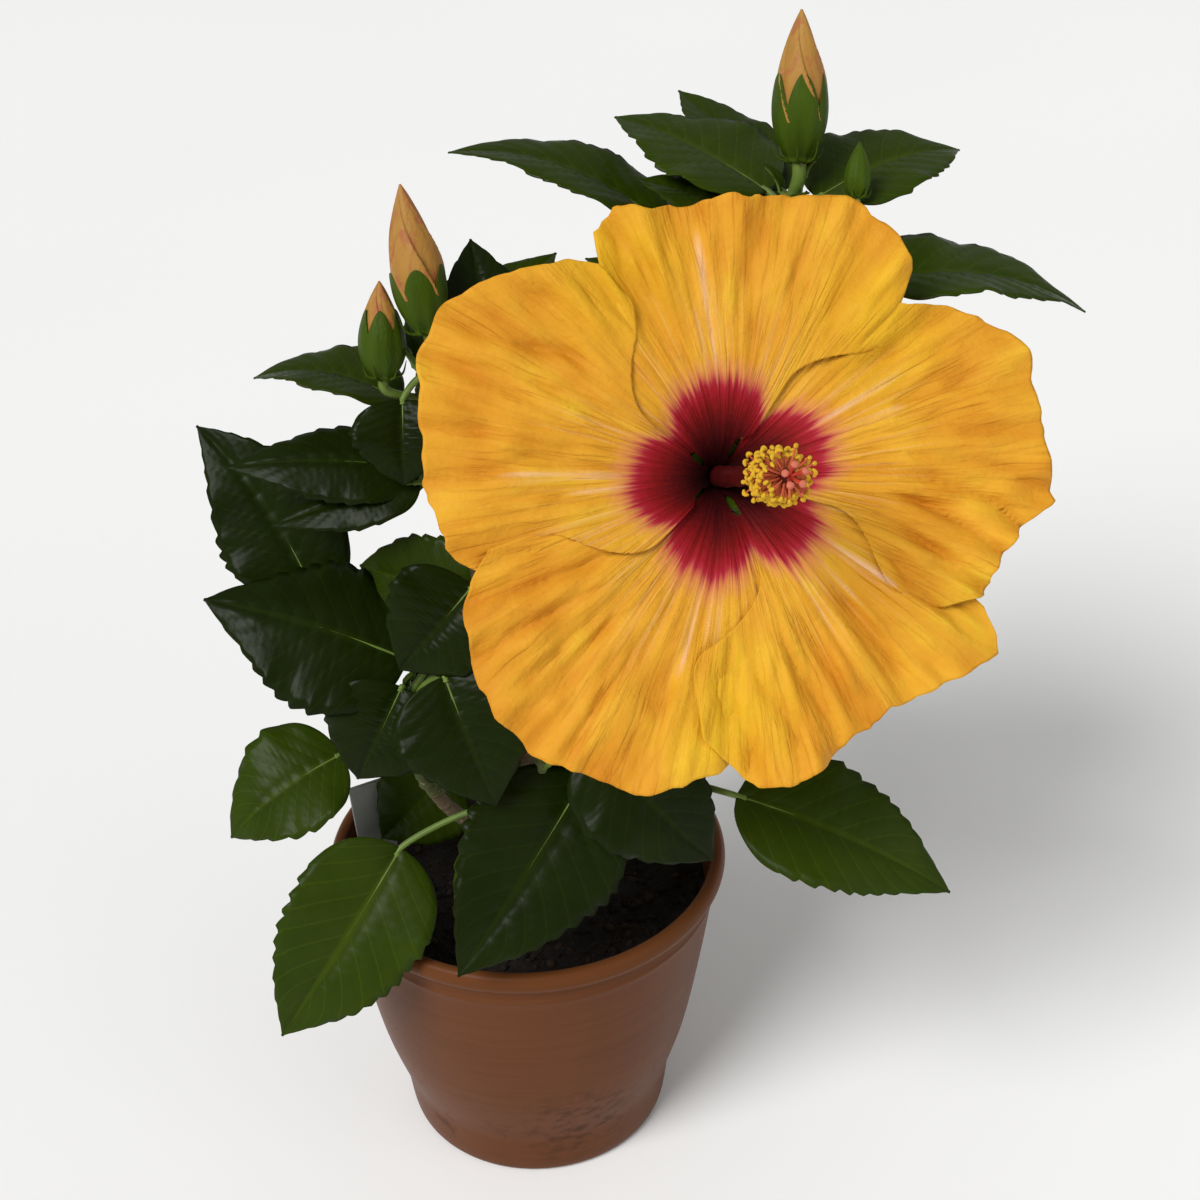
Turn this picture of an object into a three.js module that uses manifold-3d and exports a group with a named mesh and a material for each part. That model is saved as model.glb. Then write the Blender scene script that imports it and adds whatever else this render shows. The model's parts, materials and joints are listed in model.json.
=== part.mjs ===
// Potted hibiscus with one large open bloom, three plump buds and coarse toothed leaves.
// Millimetres, +Z up. The origin is the centre of the pot's flat underside; -Y is the side the bloom faces.

import * as THREE from 'three';
import { mergeVertices } from 'three/addons/utils/BufferGeometryUtils.js';
import Module from 'manifold-3d';

const wasm = await Module();
wasm.setup();

// Driving dimensions.

const CLEARANCE = 0.35; // gap between neighbouring pieces
const GOLDEN_ANGLE = THREE.MathUtils.degToRad(137.5);

const POT = { baseRadius: 39.8, wall: 2.6, floor: 3, facets: 32 };
const DRAINS = { count: 5, radius: 3.5, circle: 25, facets: 12 };

// Outer radius and height up the wall, from the foot to below the rim. The wall sets out above its foot band.
const POT_FOOT = [[41.3, 2.4], [42.3, 11]];
const POT_BAND = [42.8, 17];
const POT_LEDGE = [44.2, 19];
const POT_WALL = [[46.4, 28], [48.9, 37], [51.6, 51], [54.7, 70]];
// The groove under the rolled rim, and the rim from its underside over the top down to the mouth.
const POT_GROOVE = [[57.4, 89], [57.4, 93]];
const POT_RIM = [[60, 94.2], [60.6, 96.5], [59.8, 99.1], [58.2, 100], [56.4, 99.5], [55.8, 97]];
const MOUTH = [54.4, 85]; // inside, just under the rim

const SOIL = { level: 88, facets: 32, gap: 0.4 };
const SOIL_TOP = [[50, 86.8], [34, 87.8], [14, 88], [0, 88]]; // it sinks a little towards the wall

const LABEL = {
  foot: [-44, 9, 66],
  top: [-47, 3, 124],
  across: [1, 0.35, 0],
  wide: 12,
  thick: 1,
  point: 0.55, // share of the strip that narrows to its foot
  pointWide: 0.12, // width of that foot, as a share
};

const TRUNK = {
  foot: [0, 2, SOIL.level + CLEARANCE],
  top: [-1, 1, 126],
  flare: 9,
  radius: 5.6,
  flareHeight: 9,
};

const LEAF = {
  thick: 0.9,
  rows: 8,
  columns: 2,
  shoulder: 0.52, // how quickly the blade widens from its foot
  taper: 1.05, // how slowly it narrows to its tip
  toothDepth: 0.07,
  firstTooth: 3,
  endHalfWidth: 0.55,
  ripple: 0.07, // height of the margin's waves, as a share of the half width
  waves: 2.2,
  waveShift: 0.3, // how far the waves of one margin run ahead of the other's
};

// Leaf stalk: its radius at the shoot and at the blade, and how far it runs on under the blade.
const PETIOLE = { footRadius: 1.44, tipRadius: 1, sunk: 0.04, bendAt: 0.55, bendDrop: 0.12 };

// Sides and steps of each kind of limb.
const FACETS = {
  trunk: { sides: 12, steps: 8 },
  bough: { sides: 5, steps: 5 },
  stem: { sides: 5, steps: 4 },
  petiole: { sides: 3, steps: 3 },
  bloomStalk: { sides: 6, steps: 4 },
  budStalk: { sides: 6, steps: 3 },
  column: { sides: 8, steps: 4 },
  filament: { sides: 3, steps: 1 },
};

// Directions that the upper side of a blade faces.
const SKY = [0, 0, 1];
const FRONT = [0, -1, 0.45];
const HALF_FRONT = [0, -0.6, 1];

// Each shoot runs from the trunk's axis through these points. Its lower share is the bough,
// its upper share is the stem of a mass of leaves, or the stalk of the bloom.
const SHOOTS = {
  top: { path: [[0, 3, 120], [16, 20, 150], [40, 30, 205], [66, 24, 262], [79, 13, 304]], radius: 2.9, split: 0.74 },
  upper_left: {
    path: [[-1, 3, 116], [-9, 15, 150], [-14, 16, 200], [-19, 8, 242], [-21, 2, 262]],
    radius: 2.7,
    split: 0.6,
  },
  left: { path: [[-1, 1, 109], [-24, 6, 128], [-44, 9, 156], [-58, 7, 185]], radius: 2.5, split: 0.6 },
  lower_left: { path: [[0, 0, 103], [-18, -14, 122], [-30, -24, 150], [-33, -26, 176]], radius: 2.4, split: 0.52 },
  front: { path: [[0, 0, 99], [-1, -18, 114], [1, -31, 136], [6, -38, 162]], radius: 2.3, split: 0.55 },
  lower_right: { path: [[0, 1, 103], [20, -12, 120], [36, -28, 138], [44, -38, 152]], radius: 2.3, split: 0.6 },
  right: { path: [[0, 1, 108], [30, 10, 132], [66, 16, 190], [88, 4, 262]], radius: 2.6, split: 0.5 },
  back_left: { path: [[-1, 3, 104], [-12, 28, 124], [-16, 46, 146], [-10, 60, 178]], radius: 2.5, split: 0.5 },
  back_right: { path: [[0, 3, 110], [18, 34, 138], [34, 60, 172], [46, 76, 214]], radius: 2.6, split: 0.5 },
};

// The shoot that carries the bloom: its lower share is a bough, the rest is the bloom's own stalk.
const BLOOM_SHOOT = {
  path: [[0, 1, 113], [16, 3, 142], [33, 8, 185], [43, 2, 214], [47, -8, 228]],
  radius: 2.8,
  split: 0.72,
};

const SHOOT_TIP_RADIUS = 1.5;

// Leaves that can be told apart one by one. `at` is the share of the shoot where the stalk leaves it.
const LEAVES = {
  top: [
    { at: 0.86, base: [46, 27, 288], tip: [-12, 57, 300], wide: 29, up: SKY, sag: 0.11, fold: 8 },
    { at: 0.92, base: [66, 10, 296], tip: [38, 26, 302], wide: 26, up: SKY, sag: 0.04, fold: 8 },
    { at: 0.95, base: [72, 19, 300], tip: [34, 52, 310], wide: 39, up: SKY, sag: 0.05, fold: 6 },
    { at: 0.97, base: [77, 26, 297], tip: [53, 68, 311], wide: 27, up: [0, 0.1, 1], sag: 0.02, fold: 8 },
    { at: 0.95, base: [84, 13, 300], tip: [127, 40, 301], wide: 34, up: [0, -0.15, 1], sag: 0.08, fold: 8 },
    { at: 0.84, base: [48, 14, 272], tip: [24, 31, 278], wide: 20, up: SKY, sag: 0.03, fold: 8 },
  ],
  upper_left: [
    { at: 0.93, base: [-3, 6, 262], tip: [-7, 29, 286], wide: 24, up: SKY, sag: 0.05, fold: 8 },
    { at: 0.9, base: [-6, 10, 266], tip: [16, 31, 280], wide: 24, up: SKY, sag: 0.05, fold: 8 },
    { at: 0.9, base: [-28, 5, 251], tip: [-68, 20, 252], wide: 27, up: SKY, sag: 0.12, fold: 10 },
    { at: 0.97, base: [-27, -1, 254], tip: [-28, -8, 232], wide: 28, up: FRONT, sag: 0.1, fold: 12 },
    { at: 0.8, base: [-24, 1, 232], tip: [-76, 3, 234], wide: 24, up: HALF_FRONT, sag: 0.08, fold: -10 },
    { at: 0.72, base: [-24, -3, 230], tip: [-65, -4, 219], wide: 19, up: HALF_FRONT, sag: 0.05, fold: -8 },
  ],
  left: [
    { at: 0.95, base: [-56, 4, 189], tip: [-87, 30, 233], wide: 36, up: FRONT, sag: 0.03, fold: 8, bend: 0.06 },
  ],
  lower_left: [
    { at: 0.9, base: [-30, -22, 185], tip: [-85, -11, 201], wide: 46, up: HALF_FRONT, sag: 0.08, fold: -12 },
    { at: 0.97, base: [-12, -14, 199], tip: [-43, 6, 199], wide: 30, up: FRONT, sag: 0.08, fold: 8 },
    { at: 0.95, base: [-11, -25, 210], tip: [-32, -31, 188], wide: 36, up: FRONT, sag: 0.08, fold: 10 },
    { at: 0.8, base: [-32, -29, 181], tip: [-46, -35, 155], wide: 34, up: FRONT, sag: 0.08, fold: 12 },
    { at: 0.86, base: [-20, -35, 188], tip: [-8, -49, 154], wide: 38, up: FRONT, sag: 0.06, fold: 10 },
    { at: 0.7, base: [-52, -14, 148], tip: [-85, -23, 127], wide: 35, up: HALF_FRONT, sag: 0.14, fold: 10 },
    { at: 0.58, base: [-22, 2, 127], tip: [-44, 0, 105], wide: 30, up: FRONT, sag: 0.05, fold: 8 },
  ],
  front: [
    { at: 0.75, base: [-36, -33, 128], tip: [-73, -57, 81], wide: 43, up: FRONT, sag: 0.08, fold: 10 },
    { at: 0.9, base: [-3, -37, 137], tip: [-21, -50, 115], wide: 22, up: FRONT, sag: 0.03, fold: 10 },
    { at: 0.97, base: [17, -36, 152], tip: [-21, -67, 109], wide: 46, up: FRONT, sag: 0.05, fold: 8 },
  ],
  lower_right: [
    { at: 0.92, base: [19, -41, 168], tip: [51, -52, 133], wide: 38, up: FRONT, sag: 0.1, fold: 8 },
    { at: 0.95, base: [58, -48, 152], tip: [116, -62, 125], wide: 36, up: HALF_FRONT, sag: 0.1, fold: 8 },
  ],
  right: [
    { at: 0.98, base: [93, -4, 283], tip: [154, -2, 271], wide: 37, up: SKY, sag: 0.11, fold: 8 },
  ],
  back_left: [],
  back_right: [],
};

// Leaves told by rule: they climb a shoot in a spiral, reach outwards and dip to their tips.
const SPIRALS = {
  top: {
    tries: 3, from: 0.76, to: 0.84, heading: 62, turn: 34, stalk: 12, length: 46, breadth: 0.62, dip: 16, seed: 5,
  },
  left: {
    tries: 2, from: 0.66, to: 0.76, heading: 80, turn: 36, stalk: 10, length: 40, breadth: 0.6, dip: 24, seed: 9,
  },
  right: {
    tries: 5, from: 0.54, to: 0.84, heading: 20, turn: 42, stalk: 12, length: 50, breadth: 0.62, dip: 24, seed: 17,
  },
  back_left: {
    tries: 6, from: 0.54, to: 0.98, heading: 176, turn: -38, stalk: 11, length: 48, breadth: 0.64, dip: 30, seed: 23,
  },
  back_right: {
    tries: 6, from: 0.54, to: 0.98, heading: 4, turn: 40, stalk: 12, length: 54, breadth: 0.64, dip: 24, seed: 31,
  },
};

// How much chance the rule leaves: spread of heading and dip in degrees, shortest and longest share of the length.
const CHANCE = { heading: 16, dip: 24, shortest: 0.88, longest: 1.12 };
const SPIRAL_LEAF = { rise: 0.7, sag: 0.12, fold: 10 };

const BLOOM = {
  centre: [54.2, -55.3, 257.3],
  turn: 7.8, // degrees towards +X
  lift: 30.6, // degrees above the horizon
  petalThick: 0.9,
  petalRows: 6,
  petalColumns: 12,
  crowding: 1.4, // how much closer the rows of a petal lie towards its claw
  clawRadius: 4.6,
  throatDepth: 22,
  throatSpread: 9,
  dome: 4,
  domeReach: 110,
  step: 1.7, // how far a petal lies over its neighbour
  ruffle: 1.1,
  ruffleFrom: 24,
  ruffleTo: 72,
};

// A petal's margins as angles from claw to rim, and its reach from the low margin to the high one.
// `lift` tells which of its sides lies over the neighbour.
const PETALS = {
  petal_top: {
    low: [52, 31, 33, 42],
    high: [108, 124, 122, 114],
    reach: [67, 71, 73, 73, 71, 69, 68, 67, 66, 66, 68, 70, 67],
    lift: [1, 0],
  },
  petal_right: {
    low: [-29, -46, -44, -39],
    high: [30, 46, 48, 44],
    reach: [61, 70, 69, 72, 84, 80, 79, 79, 80, 76, 70, 60, 54],
    lift: [1, 0],
  },
  petal_lower_right: {
    low: [266, 246, 249, 256],
    high: [309, 330, 332, 326],
    reach: [65, 70, 76, 76, 74, 72, 71, 70, 71, 74, 78, 80, 72],
    lift: [1, 0],
  },
  petal_lower_left: {
    low: [196, 180, 180, 186],
    high: [246, 266, 268, 266],
    reach: [58, 66, 73, 77, 80, 82, 84, 82, 81, 81, 77, 73, 68],
    lift: [0, 0],
  },
  petal_left: {
    low: [128, 121, 113, 117],
    high: [178, 193, 190, 194],
    reach: [60, 66, 71, 76, 80, 81, 81, 78, 76, 75, 74, 72, 67],
    lift: [1, 1],
  },
};

const COLUMN = {
  from: -13.5,
  to: 57,
  footRadius: 3,
  topRadius: 1.6,
  antherFrom: 33,
  antherTo: 55,
  antherCount: 15,
  antherReach: 6.2,
  antherRadius: 1.15,
  filamentRadius: 0.45,
  antherShortest: 0.8,
  antherSpread: 0.35,
  antherLift: 2,
  styleCount: 5,
  styleLength: 6,
  styleSpread: 2.6,
  styleRadius: 0.5,
  styleFrom: 0.99,
  padRadius: 1.2,
  seed: 11,
};

// Green cup of the bloom: radius and height along the bloom's axis, from the stalk up to its widest part.
const CALYX_OUTLINE = [[2.4, -48], [4, -42], [7.74, -30]];
const CALYX = {
  mouthRadius: 9,
  mouthDrop: 2.4, // how far its rim lies under the petals
  rimDepth: 3.6,
  floorDrop: 1.6,
  facets: 18,
  stalkEnd: -42,
  lobeCount: 5,
  lobeWide: 9,
  lobeRows: 4,
  lobeTurn: 0.7,
  lobeFoot: [7, -13], // radius and height
  lobeTip: [24, -9],
  lobeSag: -0.06,
};

// Each bud stands on a stalk that leaves the shoot of its mass at share `at`.
const BUDS = {
  top: {
    foot: [79, 13, 310], tip: [80, 23, 347], radius: 7.5, share: 0.48, lobe: 0.24, mass: 'top', at: 0.96, stalk: 1.8,
  },
  left: {
    foot: [-19, 1, 272], tip: [-24, 13, 309], radius: 7.6, share: 0.36, lobe: 0.24,
    mass: 'upper_left', at: 0.95, stalk: 1.5,
  },
  left_small: {
    foot: [-31.5, 0, 260], tip: [-31, 7, 285], radius: 6.3, share: 0.6, lobe: 0.2,
    mass: 'upper_left', at: 0.84, stalk: 1.3,
  },
  top_small: {
    foot: [92.8, 4, 303.4], tip: [93.8, 9, 316.4], radius: 3.2, share: 1, lobe: 0, mass: 'top', at: 0.9, stalk: 0.9,
  },
};

// Rolled petals of a bud: they swell to their full radius below the middle and narrow to the tip.
const BUD = { rows: 9, sides: 12, swell: 0.8, narrowing: 0.72, leastRadius: 0.5, stalkTurn: 0.1 };

const CUP = { coat: 1, floor: 0.16, foot: 0.05, outerRows: 6, sides: 15 }; // green cup round a bud

// Colour and roughness by the first word of a piece's name.
const FINISHES = {
  pot: [0x7a4a34, 0.55],
  soil: [0x15110d, 0.95],
  plant_label: [0xb9bab2, 0.5],
  trunk: [0x6b5a3c, 0.85],
  bough: [0x6b5a3c, 0.8],
  foliage: [0x2c4a16, 0.5],
  petal: [0xe8a92e, 0.6],
  staminal_column: [0xb8452a, 0.6],
  calyx: [0x4a7a1c, 0.6],
  bud: [0xc8903a, 0.6],
};

// Solids.

const vector = (v) => (v.isVector3 ? v.clone() : new THREE.Vector3(...v));
const mix = THREE.MathUtils.lerp;
const smooth = THREE.MathUtils.smoothstep;
const radians = THREE.MathUtils.degToRad;

/** Value at share s of a row of evenly spaced values. */
function along(values, s) {
  const place = THREE.MathUtils.clamp(s, 0, 1) * (values.length - 1);
  const i = Math.min(Math.floor(place), values.length - 2);
  return mix(values[i], values[i + 1], place - i);
}

/** Closed geometry to a solid that can be joined and cut. */
function solid(geometry) {
  geometry.deleteAttribute('normal');
  geometry.deleteAttribute('uv');
  const merged = mergeVertices(geometry, 1e-4);
  return new wasm.Manifold(
    new wasm.Mesh({
      numProp: 3,
      vertProperties: new Float32Array(merged.attributes.position.array),
      triVerts: new Uint32Array(merged.index.array),
    }),
  );
}

/** Solid back to a geometry. */
function geometryOf(body) {
  const mesh = body.getMesh();
  const geometry = new THREE.BufferGeometry();
  geometry.setAttribute('position', new THREE.BufferAttribute(new Float32Array(mesh.vertProperties), 3));
  geometry.setIndex(new THREE.BufferAttribute(new Uint32Array(mesh.triVerts), 1));
  geometry.computeVertexNormals();
  return geometry;
}

const join = (bodies) => bodies.reduce((whole, body) => whole.add(body));

/** Moves every vertex of a geometry by a rule. */
function reshape(geometry, rule) {
  const position = geometry.attributes.position;
  for (let i = 0; i < position.count; i++) {
    const to = rule(position.getX(i), position.getY(i), position.getZ(i), i);
    position.setXYZ(i, to.x, to.y, to.z);
  }
  return geometry;
}

/** Round limb along a curve between two shares of it, with flat ends. */
function limb(curve, { from = 0, to = 1, radiusAt, sides, steps }) {
  const chord = curve.getPoint(1).sub(curve.getPoint(0)).normalize();
  const reference = Math.abs(chord.z) > 0.8 ? new THREE.Vector3(1, 0, 0) : new THREE.Vector3(0, 0, 1);
  const tube = new THREE.CylinderGeometry(1, 1, 1, sides, steps);
  return solid(
    reshape(tube, (x, y, z) => {
      const share = mix(from, to, y + 0.5);
      const tangent = curve.getTangent(share);
      const normal = reference.clone().addScaledVector(tangent, -reference.dot(tangent)).normalize();
      const side = normal.clone().cross(tangent);
      const radius = radiusAt(share);
      return curve.getPoint(share).addScaledVector(normal, x * radius).addScaledVector(side, z * radius);
    }),
  );
}

/** Small random source that gives the same row of numbers for the same seed. */
function dice(seed) {
  let state = seed;
  return () => {
    state = (state * 16807) % 2147483647;
    return state / 2147483647;
  };
}

// Leaves.

/** Midrib of a blade as a curve, and the direction that its upper side faces. */
function midrib({ base, tip, up, sag, bend = 0 }) {
  const foot = vector(base);
  const end = vector(tip);
  const chord = end.clone().sub(foot);
  const length = chord.length();
  chord.normalize();
  const normal = vector(up);
  normal.addScaledVector(chord, -normal.dot(chord)).normalize();
  const side = chord.clone().cross(normal);
  const middle = foot
    .clone()
    .lerp(end, 0.5)
    .addScaledVector(normal, 2 * sag * length)
    .addScaledVector(side, 2 * bend * length);
  return { curve: new THREE.QuadraticBezierCurve3(foot, middle, end), normal };
}

/** Share of the full width at share s of the length. */
function bladeProfile(s) {
  const widest = LEAF.shoulder / (LEAF.shoulder + LEAF.taper);
  const shape = (u) => Math.pow(u, LEAF.shoulder) * Math.pow(1 - u, LEAF.taper);
  return shape(s) / shape(widest);
}

/** Point of a blade: s along it, t across from -1 to 1, h above its middle surface. */
function bladePoint(leaf, rib, s, t, h, tooth) {
  const tangent = rib.curve.getTangent(s);
  const normal = rib.normal.clone().addScaledVector(tangent, -rib.normal.dot(tangent)).normalize();
  const side = tangent.clone().cross(normal);
  const half = Math.max(LEAF.endHalfWidth, (leaf.wide / 2) * bladeProfile(s) * tooth);
  const fold = radians(leaf.fold);
  const phase = LEAF.waves * s + LEAF.waveShift * Math.sign(t);
  const wave = LEAF.ripple * half * t * t * Math.sin(2 * Math.PI * phase);
  return rib.curve
    .getPoint(s)
    .addScaledVector(side, t * half * Math.cos(fold))
    .addScaledVector(normal, Math.abs(t) * half * Math.sin(fold) + wave + h);
}

/** Blade with its toothed margin. `spare` thickens it on both sides. */
function blade(leaf, rows = LEAF.rows, spare = 0) {
  const rib = midrib(leaf);
  const sheet = new THREE.BoxGeometry(2, 1, 1, LEAF.columns, rows, 1);
  return solid(
    reshape(sheet, (x, y, z) => {
      const s = y + 0.5;
      const row = Math.round(s * rows);
      const toothed = row >= LEAF.firstTooth && row < rows;
      const tooth = toothed ? 1 + LEAF.toothDepth * (row % 2 ? 1 : -1) : 1;
      return bladePoint(leaf, rib, s, x, z * (LEAF.thick + 2 * spare), tooth);
    }),
  );
}

/** Leaf: its blade, and the stalk from a point of the shoot that runs on under the blade. */
function leafSolid(leaf, from, spare = 0) {
  const rib = midrib(leaf);
  const foot = rib.curve.getPoint(0);
  const sunk = rib.curve.getPoint(PETIOLE.sunk);
  const drop = -PETIOLE.bendDrop * from.distanceTo(foot);
  const bend = from.clone().lerp(foot, PETIOLE.bendAt).addScaledVector(rib.curve.getTangent(0), drop);
  const stalk = new THREE.CatmullRomCurve3([from, bend, foot, sunk], false, 'centripetal');
  const radiusAt = (s) => mix(PETIOLE.footRadius, PETIOLE.tipRadius, s) + spare;
  const under = limb(stalk, { radiusAt, ...FACETS.petiole });
  return blade(leaf, LEAF.rows, spare).add(under);
}

/** Leaves that climb a shoot in a spiral. */
function spiralLeaves(curve, rule) {
  const roll = dice(rule.seed);
  return Array.from({ length: rule.tries }, (_, i) => {
    const at = mix(rule.from, rule.to, i / (rule.tries - 1));
    const node = curve.getPoint(at);
    const heading = radians(rule.heading + i * rule.turn + CHANCE.heading * (roll() - 0.5));
    const out = new THREE.Vector3(Math.cos(heading), Math.sin(heading), 0);
    const base = node.clone().addScaledVector(out, rule.stalk);
    base.z += rule.stalk * SPIRAL_LEAF.rise;
    const length = rule.length * mix(CHANCE.shortest, CHANCE.longest, roll());
    const dip = radians(rule.dip + CHANCE.dip * (roll() - 0.5));
    const tip = base.clone().addScaledVector(out, length * Math.cos(dip));
    tip.z -= length * Math.sin(dip);
    return { at, base, tip, wide: length * rule.breadth, up: SKY, sag: SPIRAL_LEAF.sag, fold: SPIRAL_LEAF.fold };
  });
}

// Trunk and boughs.

const trunkCurve = new THREE.LineCurve3(vector(TRUNK.foot), vector(TRUNK.top));

function trunkSolid(extra) {
  const span = TRUNK.top[2] - TRUNK.foot[2];
  const radiusAt = (s) => {
    const flare = Math.exp((-s * span) / TRUNK.flareHeight);
    return mix(TRUNK.radius, TRUNK.flare, flare) + extra;
  };
  const end = extra / span;
  return limb(trunkCurve, { from: -end, to: 1 + end, radiusAt, ...FACETS.trunk });
}

function shootCurve(shoot) {
  return new THREE.CatmullRomCurve3(shoot.path.map(vector), false, 'centripetal');
}

const shootRadius = (shoot) => (s) => mix(shoot.radius, SHOOT_TIP_RADIUS, s);

function boughSolid(shoot, curve) {
  const whole = limb(curve, { to: shoot.split, radiusAt: shootRadius(shoot), ...FACETS.bough });
  return whole.subtract(trunkSolid(CLEARANCE));
}

/** Share of a shoot where its leafy part begins, a clearance past the end of the bough. */
function leafyFrom(shoot) {
  return shoot.split + CLEARANCE / shootCurve(shoot).getLength();
}

/** Stem of a mass with the leaves that are told one by one and the stalks of its buds. */
function massSolid(name) {
  const shoot = SHOOTS[name];
  const curve = shootCurve(shoot);
  const stem = limb(curve, { from: leafyFrom(shoot), radiusAt: shootRadius(shoot), ...FACETS.stem });
  const leaves = LEAVES[name].map((leaf) => leafSolid(leaf, curve.getPoint(leaf.at)));
  const stalks = Object.values(BUDS)
    .filter((bud) => bud.mass === name)
    .map((bud) => budStalk(bud, curve));
  return join([stem, ...leaves, ...stalks]);
}

/** Stalk from a shoot to just below the foot of a bud. */
function budStalk(bud, curve) {
  const { foot, axis, length } = budAxes(bud);
  const end = foot.clone().addScaledVector(axis, -CLEARANCE);
  const from = curve.getPoint(bud.at);
  const turn = end.clone().addScaledVector(axis, -BUD.stalkTurn * length);
  const path = new THREE.CatmullRomCurve3([from, turn, end], false, 'centripetal');
  return limb(path, { radiusAt: () => bud.stalk, ...FACETS.budStalk });
}

/** Mass with those of its leaves told by rule that keep clear of every other piece. */
function fillMass(name, mass, others) {
  const curve = shootCurve(SHOOTS[name]);
  const clear = (body) => others.every((other) => body.intersect(other).isEmpty());
  return spiralLeaves(curve, SPIRALS[name])
    .filter((leaf) => clear(leafSolid(leaf, curve.getPoint(leaf.at), CLEARANCE)))
    .reduce((whole, leaf) => whole.add(leafSolid(leaf, curve.getPoint(leaf.at))), mass);
}

// Pot, soil and label.

const profile = (points) => points.map(([r, z]) => new THREE.Vector2(r, z));
const spun = (points, facets) => new THREE.LatheGeometry(profile(points), facets).rotateX(Math.PI / 2);

function potSolid() {
  const wall = [...POT_FOOT, POT_BAND, POT_LEDGE, ...POT_WALL, ...POT_GROOVE, ...POT_RIM];
  const inside = [MOUTH, ...insideWall(POT.wall).reverse(), [POT.baseRadius - POT.wall, POT.floor], [0, POT.floor]];
  const body = solid(spun([[0, 0], [POT.baseRadius, 0], ...wall, ...inside], POT.facets));
  return drains().reduce((pot, drain) => pot.subtract(drain), body);
}

/** Wall from the foot band upwards, moved inwards by a distance. */
function insideWall(depth) {
  return [POT_FOOT[1], POT_BAND, ...POT_WALL].map(([r, z]) => [r - depth, z]);
}

function drains() {
  return Array.from({ length: DRAINS.count }, (_, i) => {
    const angle = (i / DRAINS.count) * 2 * Math.PI;
    const hole = new THREE.CylinderGeometry(DRAINS.radius, DRAINS.radius, 4 * POT.floor, DRAINS.facets);
    hole.rotateX(Math.PI / 2);
    hole.translate(DRAINS.circle * Math.cos(angle), DRAINS.circle * Math.sin(angle), 0);
    return solid(hole);
  });
}

function soilSolid() {
  const floor = POT.floor + CLEARANCE;
  const shoulder = [MOUTH[0] - SOIL.gap, MOUTH[1]];
  const side = [[0, floor], [POT.baseRadius - POT.wall - SOIL.gap, floor], ...insideWall(POT.wall + SOIL.gap)];
  return solid(spun([...side, shoulder, ...SOIL_TOP], SOIL.facets)).subtract(labelSolid(CLEARANCE));
}

/** Pointed strip pushed into the soil. */
function labelSolid(extra) {
  const foot = vector(LABEL.foot);
  const rise = vector(LABEL.top).sub(foot);
  const length = rise.length();
  rise.normalize();
  const across = vector(LABEL.across);
  across.addScaledVector(rise, -across.dot(rise)).normalize();
  const face = across.clone().cross(rise);
  const strip = new THREE.BoxGeometry(2, 1, 1, 1, 4, 1);
  return solid(
    reshape(strip, (x, y, z) => {
      const s = y + 0.5;
      const half = (LABEL.wide / 2) * Math.min(1, mix(LABEL.pointWide, 1, s / LABEL.point)) + extra;
      return foot
        .clone()
        .addScaledVector(rise, s * length + 2 * extra * y)
        .addScaledVector(across, x * half)
        .addScaledVector(face, z * (LABEL.thick + 2 * extra));
    }),
  );
}

// Bloom.

const bloomAxes = (() => {
  const turn = radians(BLOOM.turn);
  const lift = radians(BLOOM.lift);
  const out = new THREE.Vector3(
    Math.sin(turn) * Math.cos(lift),
    -Math.cos(turn) * Math.cos(lift),
    Math.sin(lift),
  );
  const right = new THREE.Vector3(Math.cos(turn), Math.sin(turn), 0);
  return { out, right, top: out.clone().cross(right) };
})();

/** Point in the bloom's own frame: x right, y up the face, z out along its axis. */
function bloomPoint(x, y, z) {
  return vector(BLOOM.centre)
    .addScaledVector(bloomAxes.right, x)
    .addScaledVector(bloomAxes.top, y)
    .addScaledVector(bloomAxes.out, z);
}

/** Height of the open corolla at a radius and an angle. */
function corolla(radius, angle) {
  const throat = -BLOOM.throatDepth * Math.exp(-radius / BLOOM.throatSpread);
  const dome = BLOOM.dome * Math.sin((Math.PI * radius) / BLOOM.domeReach);
  const strength = smooth(radius, BLOOM.ruffleFrom, BLOOM.ruffleTo) * (1.1 + 0.6 * Math.cos(angle + 0.4));
  const ruffle = Math.sin(9 * angle + 0.6) + 0.6 * Math.sin(17 * angle + 1.9);
  return throat + dome + BLOOM.ruffle * strength * ruffle;
}

/** Point of a petal: s from claw to rim, t from 0 at its low margin to 1 at its high one. */
function petalPoint(petal, s, t, h) {
  const angle = radians(mix(along(petal.low, s), along(petal.high, s), t));
  const radius = mix(BLOOM.clawRadius, along(petal.reach, t), s);
  const over = mix(petal.lift[0], petal.lift[1], smooth(t, 0.22, 0.78));
  const height = corolla(radius, angle) + BLOOM.step * over;
  const slope = corolla(radius + 0.5, angle) - corolla(radius - 0.5, angle); // over one millimetre
  const lean = Math.hypot(1, slope);
  const shifted = radius - (h * slope) / lean;
  return bloomPoint(shifted * Math.cos(angle), shifted * Math.sin(angle), height + h / lean);
}

function petalSolid(petal) {
  const sheet = new THREE.BoxGeometry(1, 1, 1, BLOOM.petalColumns, BLOOM.petalRows, 1);
  return solid(
    reshape(sheet, (x, y, z) => {
      const s = Math.pow(y + 0.5, BLOOM.crowding);
      return petalPoint(petal, s, 0.5 - x, z * BLOOM.petalThick);
    }),
  );
}

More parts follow.
